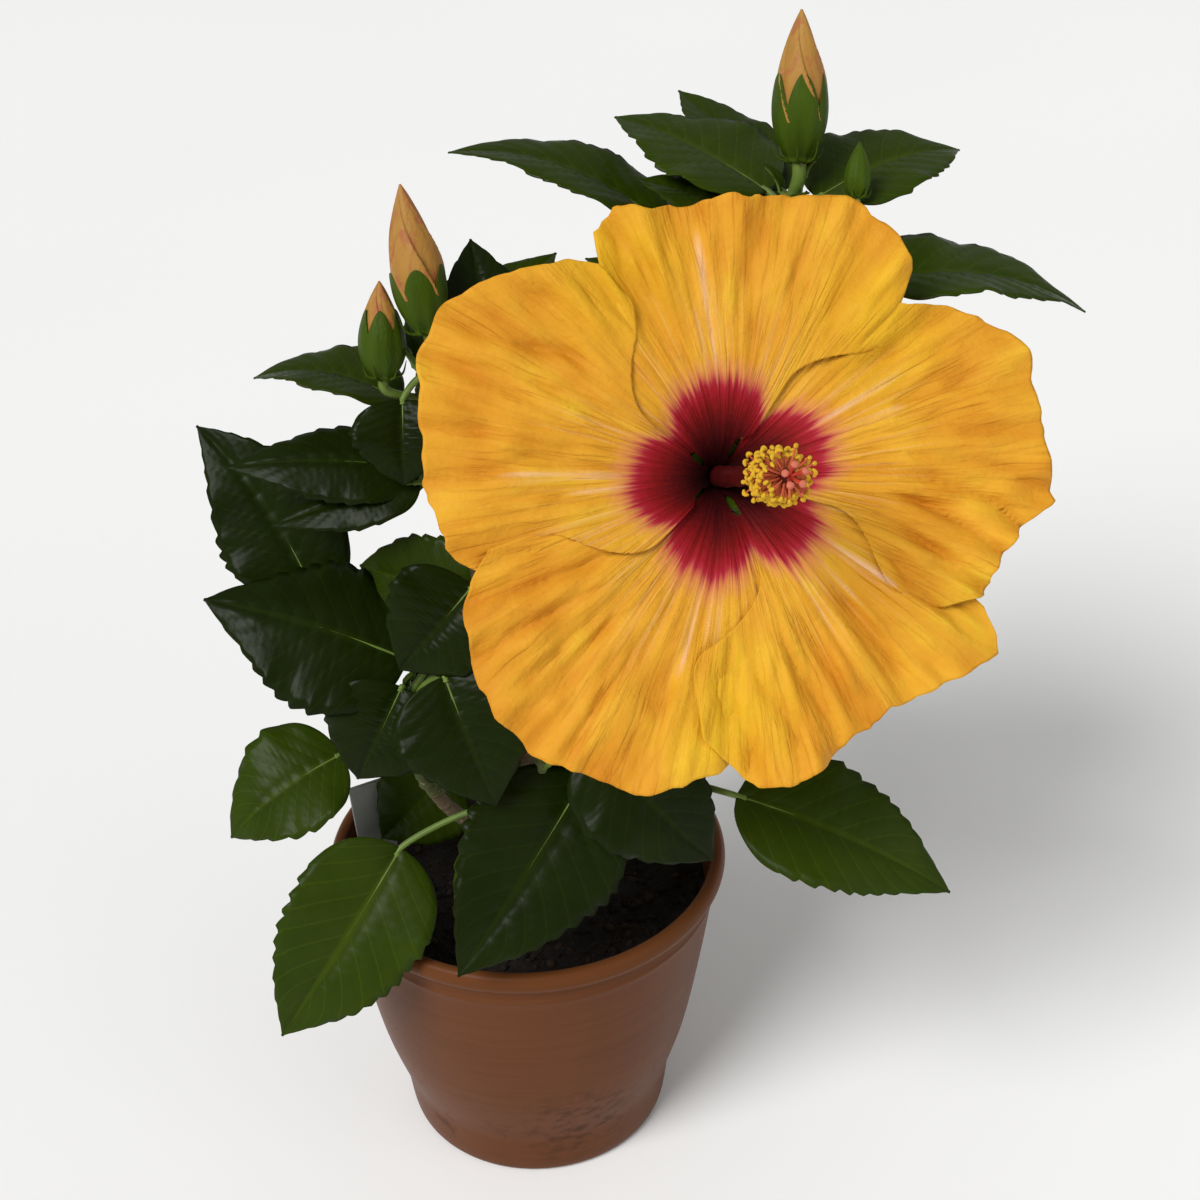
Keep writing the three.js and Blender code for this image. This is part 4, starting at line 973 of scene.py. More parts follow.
# %% Petals and cup of a bud
def rolled_petals(bud):
    """Five petals rolled round one another, from the floor of the cup to the tip."""
    foot, tip, radius = bud[:3]
    frame = bud_frame(foot, tip)
    s = np.linspace(CUP_FLOOR, 0.995, BUD_ROWS)[:, None]
    turn = np.arange(BUD_SIDES) / BUD_SIDES
    step = (5 * turn + 1.6 * s + 0.2) % 1
    fluted = 1 + 0.02 * lumps(np.cos(2 * math.pi * turn) * 4 + 9, np.sin(2 * math.pi * turn) * 4 + s * 5, 21)
    width = bud_radius(radius, s) * (0.94 + 0.16 * step**1.4) * fluted
    return bud_rings(frame, np.maximum(width, 0.3), s * frame[2] + 0 * width)


def green_cup(bud):
    """Ribbed cup with lobes and an inner lining, or a closed one if its lobes have no depth."""
    foot, tip, radius, share, lobe = bud[:5]
    frame = bud_frame(foot, tip)
    angle = around(BUD_SIDES)
    lobed = np.abs(np.cos(2.5 * angle + math.pi / 4))  # five arches, one of them in front
    rim = share * (1 + lobe * (2 * lobed**0.8 - 1))
    up = even(CUP_ROWS)[:, None]
    s = up * rim
    coat = CUP_COAT * mix(1, 0.45, up) * (1 if lobe else np.sqrt(1.02 - up))
    outer = bud_radius(radius, np.clip(s, 0.04, 1)) + coat * (1 + 0.12 * np.cos(10 * angle))
    outer[0] *= 0.55
    if not lobe:
        return bud_rings(frame, np.maximum(outer, 0.25), s * frame[2])
    down = even(LINING_ROWS)[:, None] ** 1.3
    lining = mix(rim, CUP_FLOOR + 0.02, down)
    inner = bud_radius(radius, lining) * 1.03 + 0.12
    return bud_rings(frame, np.concatenate([outer, inner]), np.concatenate([s, lining]) * frame[2])


# %% Bracts and bud stalks
BRACT_ROWS, BUD_STALK_ROWS = 18, 30


def bracts(frame, count, length, out_radius, seed):
    """Ring of thin pointed bracts that curve out and up below a cup."""
    foot, axis, _, right, back = frame
    made, roll = [], dice(seed)
    for i in range(count):
        way = 2 * math.pi * (i + 0.3 * next(roll)) / count
        out = right * math.cos(way) + back * math.sin(way)
        long = length * (0.85 + 0.3 * next(roll))
        path = [foot + out * out_radius, foot + out * (out_radius + 0.55 * long) + axis * 0.18 * long,
                foot + out * (out_radius + 0.75 * long) + axis * 0.72 * long]
        made.append(limb(along(path, even(BRACT_ROWS)), np.linspace(0.55, 0.1, BRACT_ROWS)))
    return made


def bud_stalk(bud, path):
    """Stalk that leaves a shoot and widens into the foot of a bud."""
    *_, at, thick = bud
    foot, axis, length = bud_frame(*bud[:2])[:3]
    share = even(BUD_STALK_ROWS)
    run = along([along(path, at), foot - axis * 0.1 * length, foot + axis * 1.5], share)
    return limb(run, thick * (1 + 0.25 * share**6), 14)


print("buds:", ", ".join(BUDS))

# %% [markdown]
# ## Grow the masses
#
# Each leafy mass becomes two pieces: its blades, and the twigs, stalks and ribs that carry them. The blades
# get the two maps, the twigs need none.

# %% Leaves of a mass and their greens
GROWN_FROM, YOUNG_FROM = 0.42, 0.95  # luck from which a leaf is grown, or young, and not old
BRIGHT_LEAVES = {("lower_left", 5), ("front", 0), ("top", 4), ("lower_right", 1), ("right", 0), ("top", 2)}
LIT_SHOOTS_LEAST_GREEN = {"top": 1, "right": 1}  # painted light: the shoots that stand in full light get no dark old green, so their leaves look lit


def all_leaves(name, number):
    """Leaves of a mass: those told one by one, then the spirals, then the young ones at its tip."""
    path = SHOOTS[name][0]
    leaves = [told_leaf(*row) for row in LEAVES[name]]
    for rules in (SPIRALS, BOUGH_SPIRALS):
        if name in rules:
            leaves += spiral_leaves(path, *rules[name])
    return leaves + young_leaves(path, 40 + number)


def green_of(name, k, count, luck):
    """Number of a leaf's finish: 0 is old, 1 grown, 2 young. Shoots in full light get no 0, as painted light.
    """
    if k >= count - YOUNG_LEAVES or (name, k) in BRIGHT_LEAVES:
        return 2
    return max(int(luck > GROWN_FROM) + int(luck > YOUNG_FROM), LIT_SHOOTS_LEAST_GREEN.get(name, 0))


# %% Blades and twigs of every mass
STEM_ROWS, STEM_SIDES = 120, 16


def stem_of(path, radius, split, leaves, number):
    """Stem of a mass, swollen at each leaf and rounded at its tip."""
    s = np.linspace(split, 1, STEM_ROWS)
    width = mix(radius, TIP_RADIUS, s)
    for leaf in leaves:
        width = width * (1 + 0.3 * np.exp(-(((s - leaf["at"]) / 0.012) ** 2)))
    width[-4:] *= [0.95, 0.8, 0.55, 0.25]
    return limb(along(path, s), width, STEM_SIDES, ridged(STEM_ROWS, STEM_SIDES, 60 + number, 0.03, 60))


def grow(name, number):
    """Makes a mass of one shoot as two pieces and returns how many leaves it has."""
    path, radius, split = SHOOTS[name]
    leaves = all_leaves(name, number)
    roll = dice(200 + number)
    side = math.ceil(math.sqrt(2 * len(leaves)))  # patches in a row of the painted map
    cell = lambda k: (k % side / side, k // side / side, 1 / side)
    blades, twigs = Heap(), Heap()
    for k, leaf in enumerate(leaves):
        grid = blade_grid(leaf, number * 20 + k)
        points, faces, under, *maps = sheet(grid, BLADE_THICK, (cell(2 * k), cell(2 * k + 1)))
        tint = green_of(name, k, len(leaves), next(roll))
        blades.add(points, faces, np.where(under == 1, UNDERSIDE, tint), maps)
        for part in stalk_limbs(leaf, along(path, leaf["at"])):
            twigs.add(*part)
    twigs.add(*stem_of(path, radius, split, leaves, number), 1)
    for bud in BUDS.values():
        if name in bud:
            twigs.add(*bud_stalk(bud, path))
    blades.piece("blades_" + name, leaf_finishes, "leaves", ["foliage_" + name])
    twigs.piece("twigs_" + name, twig_finishes, "leaves")
    return len(leaves)


print("leaves:", sum(grow(name, number) for number, name in enumerate(SHOOTS)))

# %% [markdown]
# ## The bloom
#
# Five broad petals overlap like the blades of a fan, each with one margin over its neighbour and one under.
# Their outlines are told as angles and reaches in the bloom's own frame. On top of the dish shape come fine
# ribs that run out from the eye, a crumpled cloth-like swell and a ruffled rim. A petal carries a third
# map, `bloom`, that holds how far out a point lies compared with the edge of the dark eye, how much it lies
# in the pale streaks (above a half), and how much painted shade darkens it down in a fold (below a half).

# %% Outlines of the petals
PETAL_ROWS, PETAL_COLUMNS, PETAL_THICK = 110, 96, 0.45
# name: (low margin, high margin, reach from the low margin to the high one, lift at each margin)
PETALS = {
    "petal_top": ([52, 31, 33, 42], [108, 124, 122, 114],
                  [67, 71, 73, 73, 71, 69, 68, 67, 66, 66, 68, 70, 67], (1, 0)),
    "petal_right": ([-29, -46, -44, -39], [30, 46, 48, 44],
                    [61, 70, 69, 72, 84, 80, 79, 79, 80, 76, 70, 60, 54], (1, 0)),
    "petal_lower_right": ([266, 257, 249, 256], [309, 330, 332, 326],
                          [65, 70, 76, 76, 74, 72, 71, 70, 71, 74, 78, 80, 72], (1, 0)),
    "petal_lower_left": ([196, 180, 180, 186], [246, 266, 268, 266],
                         [58, 66, 73, 77, 80, 82, 84, 82, 81, 81, 77, 73, 68], (0, 0)),
    "petal_left": ([128, 121, 113, 117], [178, 193, 190, 194],
                   [60, 66, 71, 76, 80, 81, 81, 78, 76, 75, 74, 72, 67], (1, 1)),
}
CLAW_START, CLAW_CLOSING = 2.4, 12  # where a petal leaves the tube, and degrees by which its foot closes up
SLIT_OPENS, SLIT_CLOSES = (4.0, 6.0), (8.0, 12.0)  # radii between which a slit shows the green cup
EYE_TWIST, TWIST_FADES = 22, (25, 50)  # degrees by which margins turn at the eye, and where that fades out


def row_at(values, share):
    """Value at a share of a row."""
    return np.interp(share * (len(values) - 1), np.arange(len(values)), values)


def off_angle(degrees, middle):
    """Degrees from a middle, from -180 to 180."""
    return (degrees - middle + 180) % 360 - 180


def margins(values, s, radius, outwards):
    """Angle of a margin. Claws stand a slit apart near the heart, then spread over their neighbours."""
    share = np.maximum(smooth(radius, *SLIT_CLOSES) / 3, s)
    closing = outwards * CLAW_CLOSING * (1 - smooth(radius, *SLIT_OPENS))
    return row_at(values, share) + closing + EYE_TWIST * (1 - smooth(radius, *TWIST_FADES))


# %% Dish, folds and crumple
THROAT_DEPTH, THROAT_SPREAD, DOME, DOME_REACH = 22.0, 9.0, 4.0, 110.0
RUFFLE, RUFFLE_FROM, RUFFLE_TO, PETAL_STEP = 1.1, 24, 72, 1.7
# long hanging folds: angle of their middle, spread and spacing in degrees, depth, sweep towards the rim
DRAPES = {"petal_top": (112, 16, 9, 1.0, 8), "petal_right": (-22, 26, 9, 3.4, -12),
          "petal_lower_right": (276, 22, 10, 2.2, 10), "petal_lower_left": (206, 26, 11, 2.6, -8),
          "petal_left": (146, 28, 10, 2.0, 8)}


def corolla(radius, angle):
    """Height of the open dish at a radius and an angle."""
    throat = -THROAT_DEPTH * np.exp(-radius / THROAT_SPREAD)
    dome = DOME * np.sin(math.pi * radius / DOME_REACH)
    strength = smooth(radius, RUFFLE_FROM, RUFFLE_TO) * (1.1 + 0.6 * np.cos(angle + 0.4))
    return throat + dome + RUFFLE * strength * (np.sin(9 * angle + 0.6) + 0.6 * np.sin(17 * angle + 1.9))


def hanging_folds(radius, degrees, drape, seed):
    """Depth of folds like those of a curtain, sharp in the valleys, strongest at the drape's middle."""
    middle, spread, spacing, depth, sweep = drape
    off = off_angle(degrees, middle)
    wander = 0.9 * lumps(radius / 16, degrees / 14, seed)
    wave = np.abs(np.sin(math.pi * (off - sweep * smooth(radius, 25, 80)) / spacing + wander))
    return depth * (wave**0.7 - 0.6) * np.exp(-((off / spread) ** 2)) * smooth(radius, 25, 50)


def crumpled(radius, degrees, drape, seed):
    """Height of swells, folds and sharp pleats, which begin outside the eye."""
    angle = np.radians(degrees)
    swells = 1.2 * lumps(angle * 7, radius / 13, seed + 3) + 0.8 * lumps(angle * 21, radius / 7, seed + 4)
    folds = 1.7 * lumps(angle * 12 + radius / 40, radius / 42, seed + 6) * smooth(radius, 22, 50)
    pleats = -1.5 * np.abs(lumps(angle * 15 + radius / 60, radius / 30, seed + 7)) ** 0.6
    pleats = pleats * smooth(radius, 20, 45)
    hanging = hanging_folds(radius, degrees, drape, seed + 8)
    return (swells + folds + pleats + hanging) * smooth(radius, 14, 60)


# %% Places of colour on a petal
# dark blotch at the foot of each petal: angle of its middle, reach and half width in degrees
BLOTCHES = {"petal_top": (97, 24, 47), "petal_right": (14, 25.5, 38), "petal_lower_right": (309, 26.5, 32),
            "petal_lower_left": (245, 26.5, 38), "petal_left": (179, 26.5, 38)}
NOTCH, NOTCH_POWER = 0.36, 2.8  # share by which a blotch draws in at its sides
EYE_SPAN = 4  # the bloom map covers as many reaches of the dark eye
# pale streaks: angle, width in degrees, from and to radius
STREAKS = [(92, 1.5, 26, 60), (97, 0.9, 26, 42), (174, 1.3, 28, 56), (180, 0.9, 26, 42), (247, 1.5, 28, 52),
           (253, 0.9, 28, 42), (319, 1.2, 28, 48), (309, 0.9, 28, 44), (296, 0.9, 28, 46), (24, 1.4, 24, 50),
           (15, 1.0, 26, 46)]


def bloom_map(radius, degrees, blotch, painted_fold_shade):
    """How far out a point lies, in reaches of the eye, its pale streaks and its painted shade in folds."""
    middle, far_edge, half_width = blotch
    aside = np.abs(off_angle(degrees, middle)) / half_width
    eye = radius / (far_edge * np.clip(1 - NOTCH * aside**NOTCH_POWER, 0.3, 1))
    pale = np.zeros_like(radius)
    for middle, width, start, end in STREAKS:
        band = np.exp(-((off_angle(degrees, middle) / width) ** 2))
        band = band * smooth(radius, start - 8, start + 8) * (1 - smooth(radius, end - 6, end + 6))
        pale = np.maximum(pale, band)
    return np.stack([np.clip(eye / EYE_SPAN, 0, 1), 0.5 + 0.5 * pale - 0.5 * painted_fold_shade * (1 - pale)], -1)


def petal_grid(low, high, reach, lift, blotch, drape, seed):
    """Points of a petal and its bloom map."""
    s = even(PETAL_ROWS)[:, None] ** 1.25
    t = np.linspace(1, 0, PETAL_COLUMNS)
    rim = row_at(reach, t) * (1 + 0.012 * lumps(t * 17, seed, seed) + 0.006 * lumps(t * 45, seed, seed + 1))
    radius = mix(CLAW_START, rim, s)
    degrees = mix(margins(low, s, radius, -1), margins(high, s, radius, 1), t)
    angle = np.radians(degrees)
    over = mix(lift[0], lift[1], smooth(t, 0.22, 0.78))
    ribs = 0.2 * np.sin(angle * 74 + 1.5 * lumps(radius / 12, angle * 5, seed + 2)) * smooth(radius, 12, 30)
    crumple = crumpled(radius, degrees, drape, seed)
    frill = 1.8 * smooth(s, 0.72, 1) * lumps(angle * 11, radius / 40, seed + 5)
    height = corolla(radius, angle) + PETAL_STEP * over + ribs + crumple + frill
    # painted shade: the colour is darkened where a point lies deep in a fold of the crumple
    painted_fold_shade = np.clip(0.1 - crumple / 3, 0, 1)
    grid = bloom_point(radius * np.cos(angle), radius * np.sin(angle), height)
    return grid, bloom_map(radius, degrees, blotch, painted_fold_shade)


print("height of the dish at 10 and 70 mm out:", [round(float(corolla(r, 0)), 1) for r in (10, 70)])

# %% [markdown]
# ## Colour of the petals
#
# The flower runs from a near-black heart through crimson to a feathered rose edge, then warm orange yellow
# with whitish streaks along the veins. The feathering is noise stretched along the radius, so it is
# measured by angle round the heart, not across the flat. Petals are thin wet tissue: light comes through
# them, and their skin has a soft sheen.


# %% Patterns that follow the bloom
def bloom_polar(tree):
    """Angle round the bloom's axis and distance from it."""
    place = add(tree, "TexCoord", out="Object")
    centred = add(tree, "VectorMath", (place, BLOOM_CENTRE * MM), operation="SUBTRACT")
    x, y = (add(tree, "VectorMath", (centred, axis), "Value", operation="DOT_PRODUCT")
            for axis in (bloom_right, bloom_top))
    angle = add(tree, "Math", (y, x), operation="ARCTAN2")
    squares = [add(tree, "Math", (side, side), operation="MULTIPLY") for side in (x, y)]
    total = add(tree, "Math", squares, operation="ADD")
    return angle, add(tree, "Math", [total], operation="SQRT")


def feather(tree, turns, size_mm, detail):
    """Pattern that is fine round the heart and long along the radius."""
    angle, distance = bloom_polar(tree)
    ring = []
    for operation in ("COSINE", "SINE"):
        wave = add(tree, "Math", [angle], operation=operation)
        ring.append(add(tree, "Math", (wave, turns), operation="MULTIPLY"))
    outwards = add(tree, "Math", (distance, size_mm * MM), operation="DIVIDE")
    spot = add(tree, "CombineXYZ", (*ring, outwards))
    return add(tree, "TexNoise", {"Vector": spot, "Scale": 1.0, "Detail": detail})


# %% Orange skin of a petal
SUNNY = [(40, 34), (-24, 52), (-8, -58)]  # places in the bloom's frame where the orange turns yellow
SUNNY_REACH = 26


def orange_skin(tree):
    """Orange yellow in swells and along the veins, more yellow in a few sunny places."""
    swell = add(tree, "Math", (grain(tree, 22, 4), 0.6), operation="MULTIPLY")
    light = add(tree, "Math", (feather(tree, 9, 30, 3), 0.45, swell), operation="MULTIPLY_ADD")
    skin = add(tree, "ValToRGB", [light],
               stops=[(0.34, "CA841E"), (0.46, "D69626"), (0.58, "DDA32C"), (0.7, "E2B42E")])
    place = add(tree, "TexCoord", out="Object")
    for right, top in SUNNY:
        middle = bloom_point(right, top, 0) * MM
        away = add(tree, "VectorMath", (place, middle), "Value", operation="DISTANCE")
        away = add(tree, "Math", (away, SUNNY_REACH * MM), operation="DIVIDE")
        sunny = add(tree, "ValToRGB", [away], stops=[(0.1, 0.7), (0.9, 0.0)])
        skin = add(tree, "Mix", {0: sunny, 6: skin, 7: "DEB41E"}, **MIX_COLOURS)
    return skin


def wrinkles_and_shade(tree):
    """Fine wrinkle lines in patches: they dent the relief and darken the colour as painted shade."""
    off = add(tree, "Math", (feather(tree, 19, 30, 3), 0.5), operation="SUBTRACT")
    off = add(tree, "Math", [off], operation="ABSOLUTE")
    wrinkle_and_shade = add(tree, "ValToRGB", [off], stops=[(0.0, 1.0), (0.03, 0.5), (0.1, 0.0)])
    patch = add(tree, "ValToRGB", [grain(tree, 17)], stops=[(0.42, 0.35), (0.6, 1.0)])
    return add(tree, "Math", (wrinkle_and_shade, patch), operation="MULTIPLY")


# %% Streaks and dark eye
def pale_streaks(tree, out, streak_and_fold_shade, hair):
    """Share of pale tissue: the told streaks, and thin threads just outside the eye."""
    strong = add(tree, "Math", (streak_and_fold_shade, 2.0, -1.0), operation="MULTIPLY_ADD")
    strong = add(tree, "Math", (strong, 0.0), operation="MAXIMUM")
    frayed = add(tree, "ValToRGB", [hair], stops=[(0.38, 0.12), (0.58, 0.8)])
    near_eye = add(tree, "ValToRGB", [out], stops=[(0.27, 0.0), (0.32, 0.2), (0.55, 0.0)])
    thread = add(tree, "ValToRGB", [feather(tree, 44, 60, 2)], stops=[(0.56, 0.0), (0.64, 1.0)])
    pairs = ((strong, frayed), (near_eye, thread))
    shares = [add(tree, "Math", pair, operation="MULTIPLY") for pair in pairs]
    return add(tree, "Math", shares, operation="MAXIMUM")


def dark_eye(tree, out, hair, skin):
    """Near-black heart, crimson and rose, with an edge that feathers out into the skin."""
    ragged = add(tree, "Math", (hair, 0.32, -0.16), operation="MULTIPLY_ADD")
    brushed = add(tree, "Math", (out, 0.8 * EYE_SPAN, ragged), operation="MULTIPLY_ADD")
    heart = add(tree, "ValToRGB", [brushed],
                stops=[(0.0, "1C0203"), (0.24, "360406"), (0.42, "5A080A"), (0.58, "7E0E10"), (0.7, "9C1824"),
                       (0.79, "B4384A"), (0.88, "C86468")])
    cover = add(tree, "ValToRGB", [brushed], stops=[(0.74, 0.0), (0.84, 0.6), (0.98, 1.0)])
    return add(tree, "Mix", {0: cover, 6: heart, 7: skin}, **MIX_COLOURS)


# %% Petal tissue
def petal_tissue(name, shade):
    """Thin living tissue that glows from behind. shade darkens the outer side."""
    material, tree, shader = finish(name, IOR=1.4, Roughness=0.6, Specular_IOR_Level=0.18,
                                    Subsurface_Weight=0.12, Subsurface_Radius=(1.0, 0.45, 0.12),
                                    Subsurface_Scale=1.2 * MM)
    out, streak_and_fold_shade = add(tree, "SeparateXYZ", [add(tree, "UVMap", uv_map="bloom")]).node.outputs[:2]
    hair, wrinkle_and_shade = feather(tree, 26, 45, 3), wrinkles_and_shade(tree)
    # painted shade: the colour is darkened along the fine wrinkle lines
    share = add(tree, "Math", (wrinkle_and_shade, 0.34), operation="MULTIPLY")
    skin = add(tree, "Mix", {0: share, 6: orange_skin(tree), 7: "B86E16"}, **MIX_COLOURS)
    # painted shade: the lower half of the bloom map's second channel darkens the orange down in the folds
    painted_fold_shade = add(tree, "Math", (streak_and_fold_shade, -2.0, 1.0), operation="MULTIPLY_ADD")
    painted_fold_shade = add(tree, "Math", (painted_fold_shade, 0.0), operation="MAXIMUM")
    share = add(tree, "Math", (painted_fold_shade, 0.42), operation="MULTIPLY")
    skin = add(tree, "Mix", {0: share, 6: skin, 7: "B46610"}, **MIX_COLOURS)
    skin = add(tree, "Mix", {0: pale_streaks(tree, out, streak_and_fold_shade, hair), 6: skin, 7: "E9BFA0"}, **MIX_COLOURS)
    colour = add(tree, "Mix", {0: shade, 6: dark_eye(tree, out, hair, skin), 7: "B0701C"}, **MIX_COLOURS)
    fine = add(tree, "Math", (grain(tree, 1.6, 4), 0.45), operation="MULTIPLY")
    ribbed = add(tree, "Math", (hair, 0.5, fine), operation="MULTIPLY_ADD")
    relief = add(tree, "Math", (wrinkle_and_shade, -0.3, ribbed), operation="MULTIPLY_ADD")
    return lay(material, shader, colour, relief, 0.7)


# %% Make the petals
petal_finishes = [petal_tissue("petal_face", 0.0), petal_tissue("petal_back", 0.35)]
for number, (name, rule) in enumerate(PETALS.items()):
    grid, where = petal_grid(*rule, BLOTCHES[name], DRAPES[name], 70 + 10 * number)
    points, faces, under, _, bake = sheet(grid, PETAL_THICK, ((0, 0, 0.5), (0.5, 0, 0.5)))
    told = where.reshape(-1, 2)[faces % (PETAL_ROWS * PETAL_COLUMNS)].reshape(-1, 2)
    petal = Heap()
    petal.add(points, faces, under, [told, bake])
    made = petal.piece(name + "_tissue", petal_finishes, "petals", [name])
    made.data.uv_layers["leaf"].name = "bloom"

# %% [markdown]
# ## Stamens and styles
#
# A hibiscus carries its stamens on one tube that stands out of the heart. The tube is dark red, the anthers
# are tiny bent sausages full of yellow pollen, and five hairy salmon-red pads end the styles at the tip.
# Each anther is its own short bent limb on a thread, placed by the golden angle, as the plant itself spaces
# them.


# %% Column finishes
def soft_tissue(name, low, high, rough, size_mm):
    """Plain living tissue with a fine grain in two close colours."""
    material, tree, shader = finish(name, IOR=1.4, Roughness=rough, Specular_IOR_Level=0.2)
    colour = add(tree, "Mix", {0: grain(tree, size_mm, 3), 6: low, 7: high}, **MIX_COLOURS)
    return lay(material, shader, colour, grain(tree, 0.4, 3), 0.15)


column_finishes = [
    soft_tissue("column_tube", "330506", "560B0C", 0.55, 6),
    soft_tissue("anther_thread", "B8502E", "D0704A", 0.5, 3),
    soft_tissue("pollen_sack", "C8921A", "DDB838", 0.85, 1),
    soft_tissue("style_thread", "B8362A", "D85A3E", 0.5, 3),
    soft_tissue("stigma_pad", "C05A48", "D48068", 0.8, 0.7),
]
TUBE, THREAD, SACK, STYLE, PAD = range(5)  # their numbers in the row

# %% Column, anthers and styles
COLUMN_FROM, COLUMN_TO, COLUMN_FOOT, COLUMN_TOP = -13.5, 57.0, 2.7, 1.5
COLUMN_ROWS, COLUMN_SIDES = 70, 24
ANTHERS, ANTHER_FROM, ANTHER_TO, ANTHER_REACH = 160, 33.0, 55.0, 5.8
THREAD_RADIUS, THREAD_ROWS, THREAD_SIDES = 0.24, 7, 6
SACK_RADIUS, SACK_HALF, SACK_ROWS, SACK_SIDES = 0.52, 0.95, 9, 9
STYLES, STYLE_LENGTH, STYLE_SPREAD, STYLE_RADIUS = 5, 5.2, 2.4, 0.45
PAD_RADIUS, PAD_ROWS, PAD_SIDES = 0.85, 14, 18


def anther(root, out, roll):
    """Thread and bent pollen sack of one stamen."""
    reach = ANTHER_REACH * (0.72 + 0.42 * next(roll))
    end = root + out * reach + bloom_out * (2 + 2 * next(roll))
    thread = along([root, mix(root, end, 0.5) + bloom_out * 0.6, end], even(THREAD_ROWS))
    turn = 2 * math.pi * next(roll)
    sway = unit(np.cross(out, bloom_out)) * math.cos(turn) + bloom_out * math.sin(turn)
    ends = [end + side * sway * SACK_HALF - out * 0.35 for side in (-1, 1)]
    bean = along([ends[0], end + out * 0.25, ends[1]], even(SACK_ROWS))
    plump = SACK_RADIUS * np.sin(math.pi * np.linspace(0.06, 0.94, SACK_ROWS)) ** 0.5
    return limb(thread, THREAD_RADIUS, THREAD_SIDES), limb(bean, plump, SACK_SIDES)


def style(tip, out, seed):
    """Short thread with a hairy pad at its end."""
    end = tip + out * STYLE_SPREAD + bloom_out * STYLE_LENGTH
    thread = along([tip, mix(tip, end, 0.5) + out * 0.4, end], even(10))
    ball = np.linspace(0.03, 0.97, PAD_ROWS) * math.pi
    run = end + np.multiply.outer(-np.cos(ball), unit(out * 0.5 + bloom_out)) * PAD_RADIUS * 0.8
    fuzz = 0.12 * lumps(np.linspace(0, 9, PAD_ROWS)[:, None], np.linspace(0, 17, PAD_SIDES), seed)
    return limb(thread, STYLE_RADIUS), limb(run, np.sin(ball) * PAD_RADIUS, PAD_SIDES, fuzz)


column = Heap()
s = even(COLUMN_ROWS)
axis_points = mix(bloom_point(0, 0, COLUMN_FROM), bloom_point(0, -2, COLUMN_TO), s[:, None])
relief = ridged(COLUMN_ROWS, COLUMN_SIDES, 90, 0.03, 70)
column.add(*limb(axis_points, mix(COLUMN_FOOT, COLUMN_TOP, s), COLUMN_SIDES, relief), TUBE)
roll = dice(11)
for i in range(ANTHERS):
    angle = i * math.radians(GOLDEN_DEGREES)
    height = mix(ANTHER_FROM, ANTHER_TO, i / (ANTHERS - 1))
    root = axis_points[int((height - COLUMN_FROM) / (COLUMN_TO - COLUMN_FROM) * (COLUMN_ROWS - 1))]
    thread, sack = anther(root, bloom_right * math.cos(angle) + bloom_top * math.sin(angle), roll)
    column.add(*thread, THREAD)
    column.add(*sack, SACK)
for i in range(STYLES):
    angle = 2 * math.pi * i / STYLES + 0.3
    thread, pad = style(axis_points[-1], bloom_right * math.cos(angle) + bloom_top * math.sin(angle), 95 + i)
    column.add(*thread, STYLE)
    column.add(*pad, PAD)
column.piece("stamens_and_styles", column_finishes, "stamens", ["staminal_column"])

# %% [markdown]
# ## Cup of the bloom, and the buds
#
# Behind the petals sits a ribbed green cup with five pointed lobes, bracts below it, and the stalk that
# leads back into the bough. It hardly shows from the front, but the plant will be seen from every side.


# %% Green tissue and bud petals
def sepal_tissue():
    """Ribbed green tissue with a thin down, brighter than the leaves."""
    material, tree, shader = finish("sepal_tissue", IOR=1.42, Roughness=0.5, Specular_IOR_Level=0.15)
    green = add(tree, "Mix", {0: grain(tree, 5, 4, (1, 1, 0.25)), 6: "2A3C04", 7: "445A08"}, **MIX_COLOURS)
    return lay(material, shader, green, grain(tree, 0.6, 3, (1, 1, 0.2)), 0.2)


def rolled_petal_tissue():
    """Outside of petals still rolled up: tan orange with rose streaks along them."""
    material, tree, shader = finish("rolled_petal", IOR=1.4, Roughness=0.5, Specular_IOR_Level=0.25,
                                    Sheen_Weight=0.04)
    tan = add(tree, "Mix", {0: grain(tree, 6, 3, (1, 1, 0.3)), 6: "9A6A2C", 7: "B48840"}, **MIX_COLOURS)
    rose = add(tree, "ValToRGB", [grain(tree, 2.2, 3, (1, 1, 0.12))], stops=[(0.5, 0.0), (0.62, 0.75)])
    tan = add(tree, "Mix", {0: rose, 6: tan, 7: "A4603C"}, **MIX_COLOURS)
    return lay(material, shader, tan, grain(tree, 0.9, 3, (1, 1, 0.1)), 0.3)


green, rolled = sepal_tissue(), rolled_petal_tissue()

# %% Cup, lobes and stalk
LOBES, LOBE_LENGTH, LOBE_WIDE, LOBE_THICK, LOBE_ROWS, LOBE_COLUMNS = 5, 15.0, 9.0, 0.8, 26, 11
LOBE_TURN = 0.7  # angle of the first lobe, and of the first rib, in radians
CUP_DEPTH, MOUTH_RADIUS, CUP_SIDES, CLAW_RADIUS = 34.0, 9.0, 90, 4.6


def cup_wall():
    """Ribbed cup, lined so closely that the claws of the petals stand on its floor."""
    mouth, floor, heart = (corolla(radius, 0) for radius in (MOUTH_RADIUS, CLAW_RADIUS, CLAW_START))
    corners = [(0.5, -48), (2.4, -48), (4, -42), (7.74, -30), (MOUTH_RADIUS, mouth - 6),
               (MOUTH_RADIUS, mouth - 1.5), (CLAW_RADIUS, floor - 1.0), (CLAW_START, heart - 1.2),
               (0.5, heart - 1.2)]
    profile = rounded(corners)
    angle = around(CUP_SIDES)
    radius = profile[:, 0, None]
    radius = radius * (1 + 0.045 * np.cos(10 * (angle - LOBE_TURN)) * smooth(radius, 2, 8))
    grid = bloom_point(radius * np.cos(angle), radius * np.sin(angle), profile[:, 1, None] + 0 * angle)
    return rings(grid, grid[0].mean(0), grid[-1].mean(0))


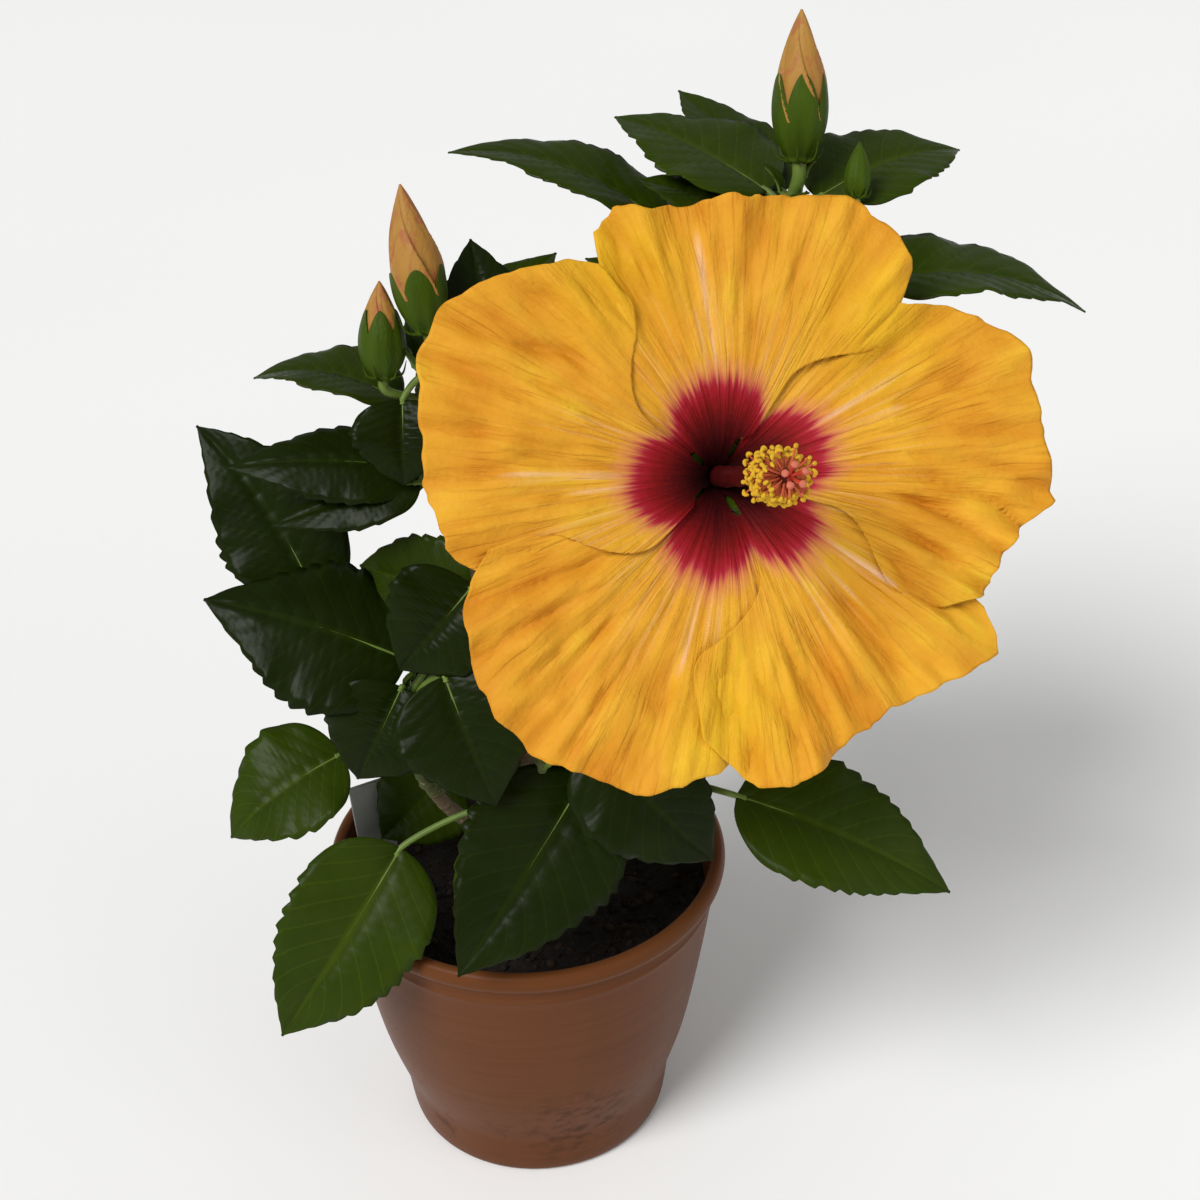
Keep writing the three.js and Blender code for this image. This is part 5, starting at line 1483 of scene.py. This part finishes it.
def cup_lobe(way):
    """One pointed lobe, bent back under the petals."""
    spot = lambda radius, height: bloom_point(radius * math.cos(way), radius * math.sin(way), height)
    s, t = even(LOBE_ROWS)[:, None], np.linspace(-1, 1, LOBE_COLUMNS)
    wide = LOBE_WIDE / 2 * (1 - s**1.5) * mix(1, 1.15, np.sin(math.pi * s))
    side = unit(np.cross(spot(1, 0) - spot(0, 0), bloom_out))
    rib = mix(spot(MOUTH_RADIUS - 2, -13), spot(MOUTH_RADIUS + LOBE_LENGTH, -9), s)
    rib = rib - bloom_out * np.sin(math.pi * s) * 1.8
    trough = wide * t * t / LOBE_WIDE
    return sheet(rib[:, None] + side * (wide * t)[..., None] + bloom_out * trough[..., None], LOBE_THICK)[:2]


calyx = Heap()
calyx.add(*cup_wall())
for turn in around(LOBES):
    calyx.add(*cup_lobe(turn + LOBE_TURN))
bloom_frame = (bloom_point(0, 0, STALK_END + 1), bloom_out, CUP_DEPTH, bloom_right, bloom_top)
for part in bracts(bloom_frame, 7, 15, 3.6, 17):
    calyx.add(*part)
s = np.linspace(BLOOM_SPLIT, 1, 60)
calyx.add(*limb(along(bloom_path, s), mix(BLOOM_RADIUS, TIP_RADIUS, s) + 2.0 * smooth(s, 0.95, 1.0), 18))
calyx.piece("bloom_cup", [green], "calyx", ["bloom_calyx"])

# %% Buds in their cups
for number, (name, bud) in enumerate(BUDS.items()):
    foot, tip, radius, _, lobe = bud[:5]
    cup = Heap()
    cup.add(*green_cup(bud))
    for part in bracts(bud_frame(foot, tip), 6, 0.95 * radius, 1.2, 50 + number):
        cup.add(*part)
    cup.piece(f"bud_{name}_cup", [green], "calyx", [f"bud_{name}_calyx"])
    if lobe:
        petals = Heap()
        petals.add(*rolled_petals(bud))
        petals.piece(f"bud_{name}_petals", [rolled], "bud", [f"bud_{name}"])

# %% [markdown]
# ## Floor and light
#
# The picture is a plant cut out on white, lit softly from the upper left front. A pale floor, a broad soft
# key, a weak fill and a dim, even sky give that. A broad key makes the soft highlights that a waxy leaf
# needs.


# %% Floor
def pale_floor():
    """Matt white paint, even and a little warm."""
    material, tree, shader = finish("pale_floor", Roughness=0.9)
    white = add(tree, "Mix", {0: grain(tree, 400, 1), 6: "F6F6F5", 7: "FAFAF9"}, **MIX_COLOURS)
    tree.links.new(white, shader.inputs["Base Color"])
    return material


bpy.ops.mesh.primitive_circle_add(vertices=96, radius=6, fill_type="NGON")
floor = bpy.context.object
floor.name = "floor"
floor.data.materials.append(pale_floor())

# %% Lamps and sky
AIM = (0.02, 0, 0.2)
# name: (kind, place in metres, strength, and its size as an angle or a width)
LAMPS = {
    "key": ("SUN", (-0.75, -0.85, 1.35), 2.6, math.radians(28)),
    "fill": ("AREA", (1.0, -0.8, 0.7), 2.2, 0.9),
}
SKY_STRENGTH = 0.36

for name, (kind, place, strength, size) in LAMPS.items():
    lamp = bpy.data.lights.new(name, kind)
    lamp.energy = strength
    setattr(lamp, "angle" if kind == "SUN" else "size", size)
    made = bpy.data.objects.new(name, lamp)
    made.location = place
    made.rotation_euler = (Vector(AIM) - Vector(place)).to_track_quat("-Z", "Y").to_euler()
    bpy.context.scene.collection.objects.link(made)
world = bpy.data.worlds.new("studio")
bpy.context.scene.world = world
world.use_nodes = True
sky = world.node_tree.nodes["Background"]
sky.inputs["Color"].default_value = tone("FFFFFF")
sky.inputs["Strength"].default_value = SKY_STRENGTH
bpy.context.scene.view_settings.view_transform = "Standard"
print("lamps:", ", ".join(LAMPS), "and an even sky of", SKY_STRENGTH)
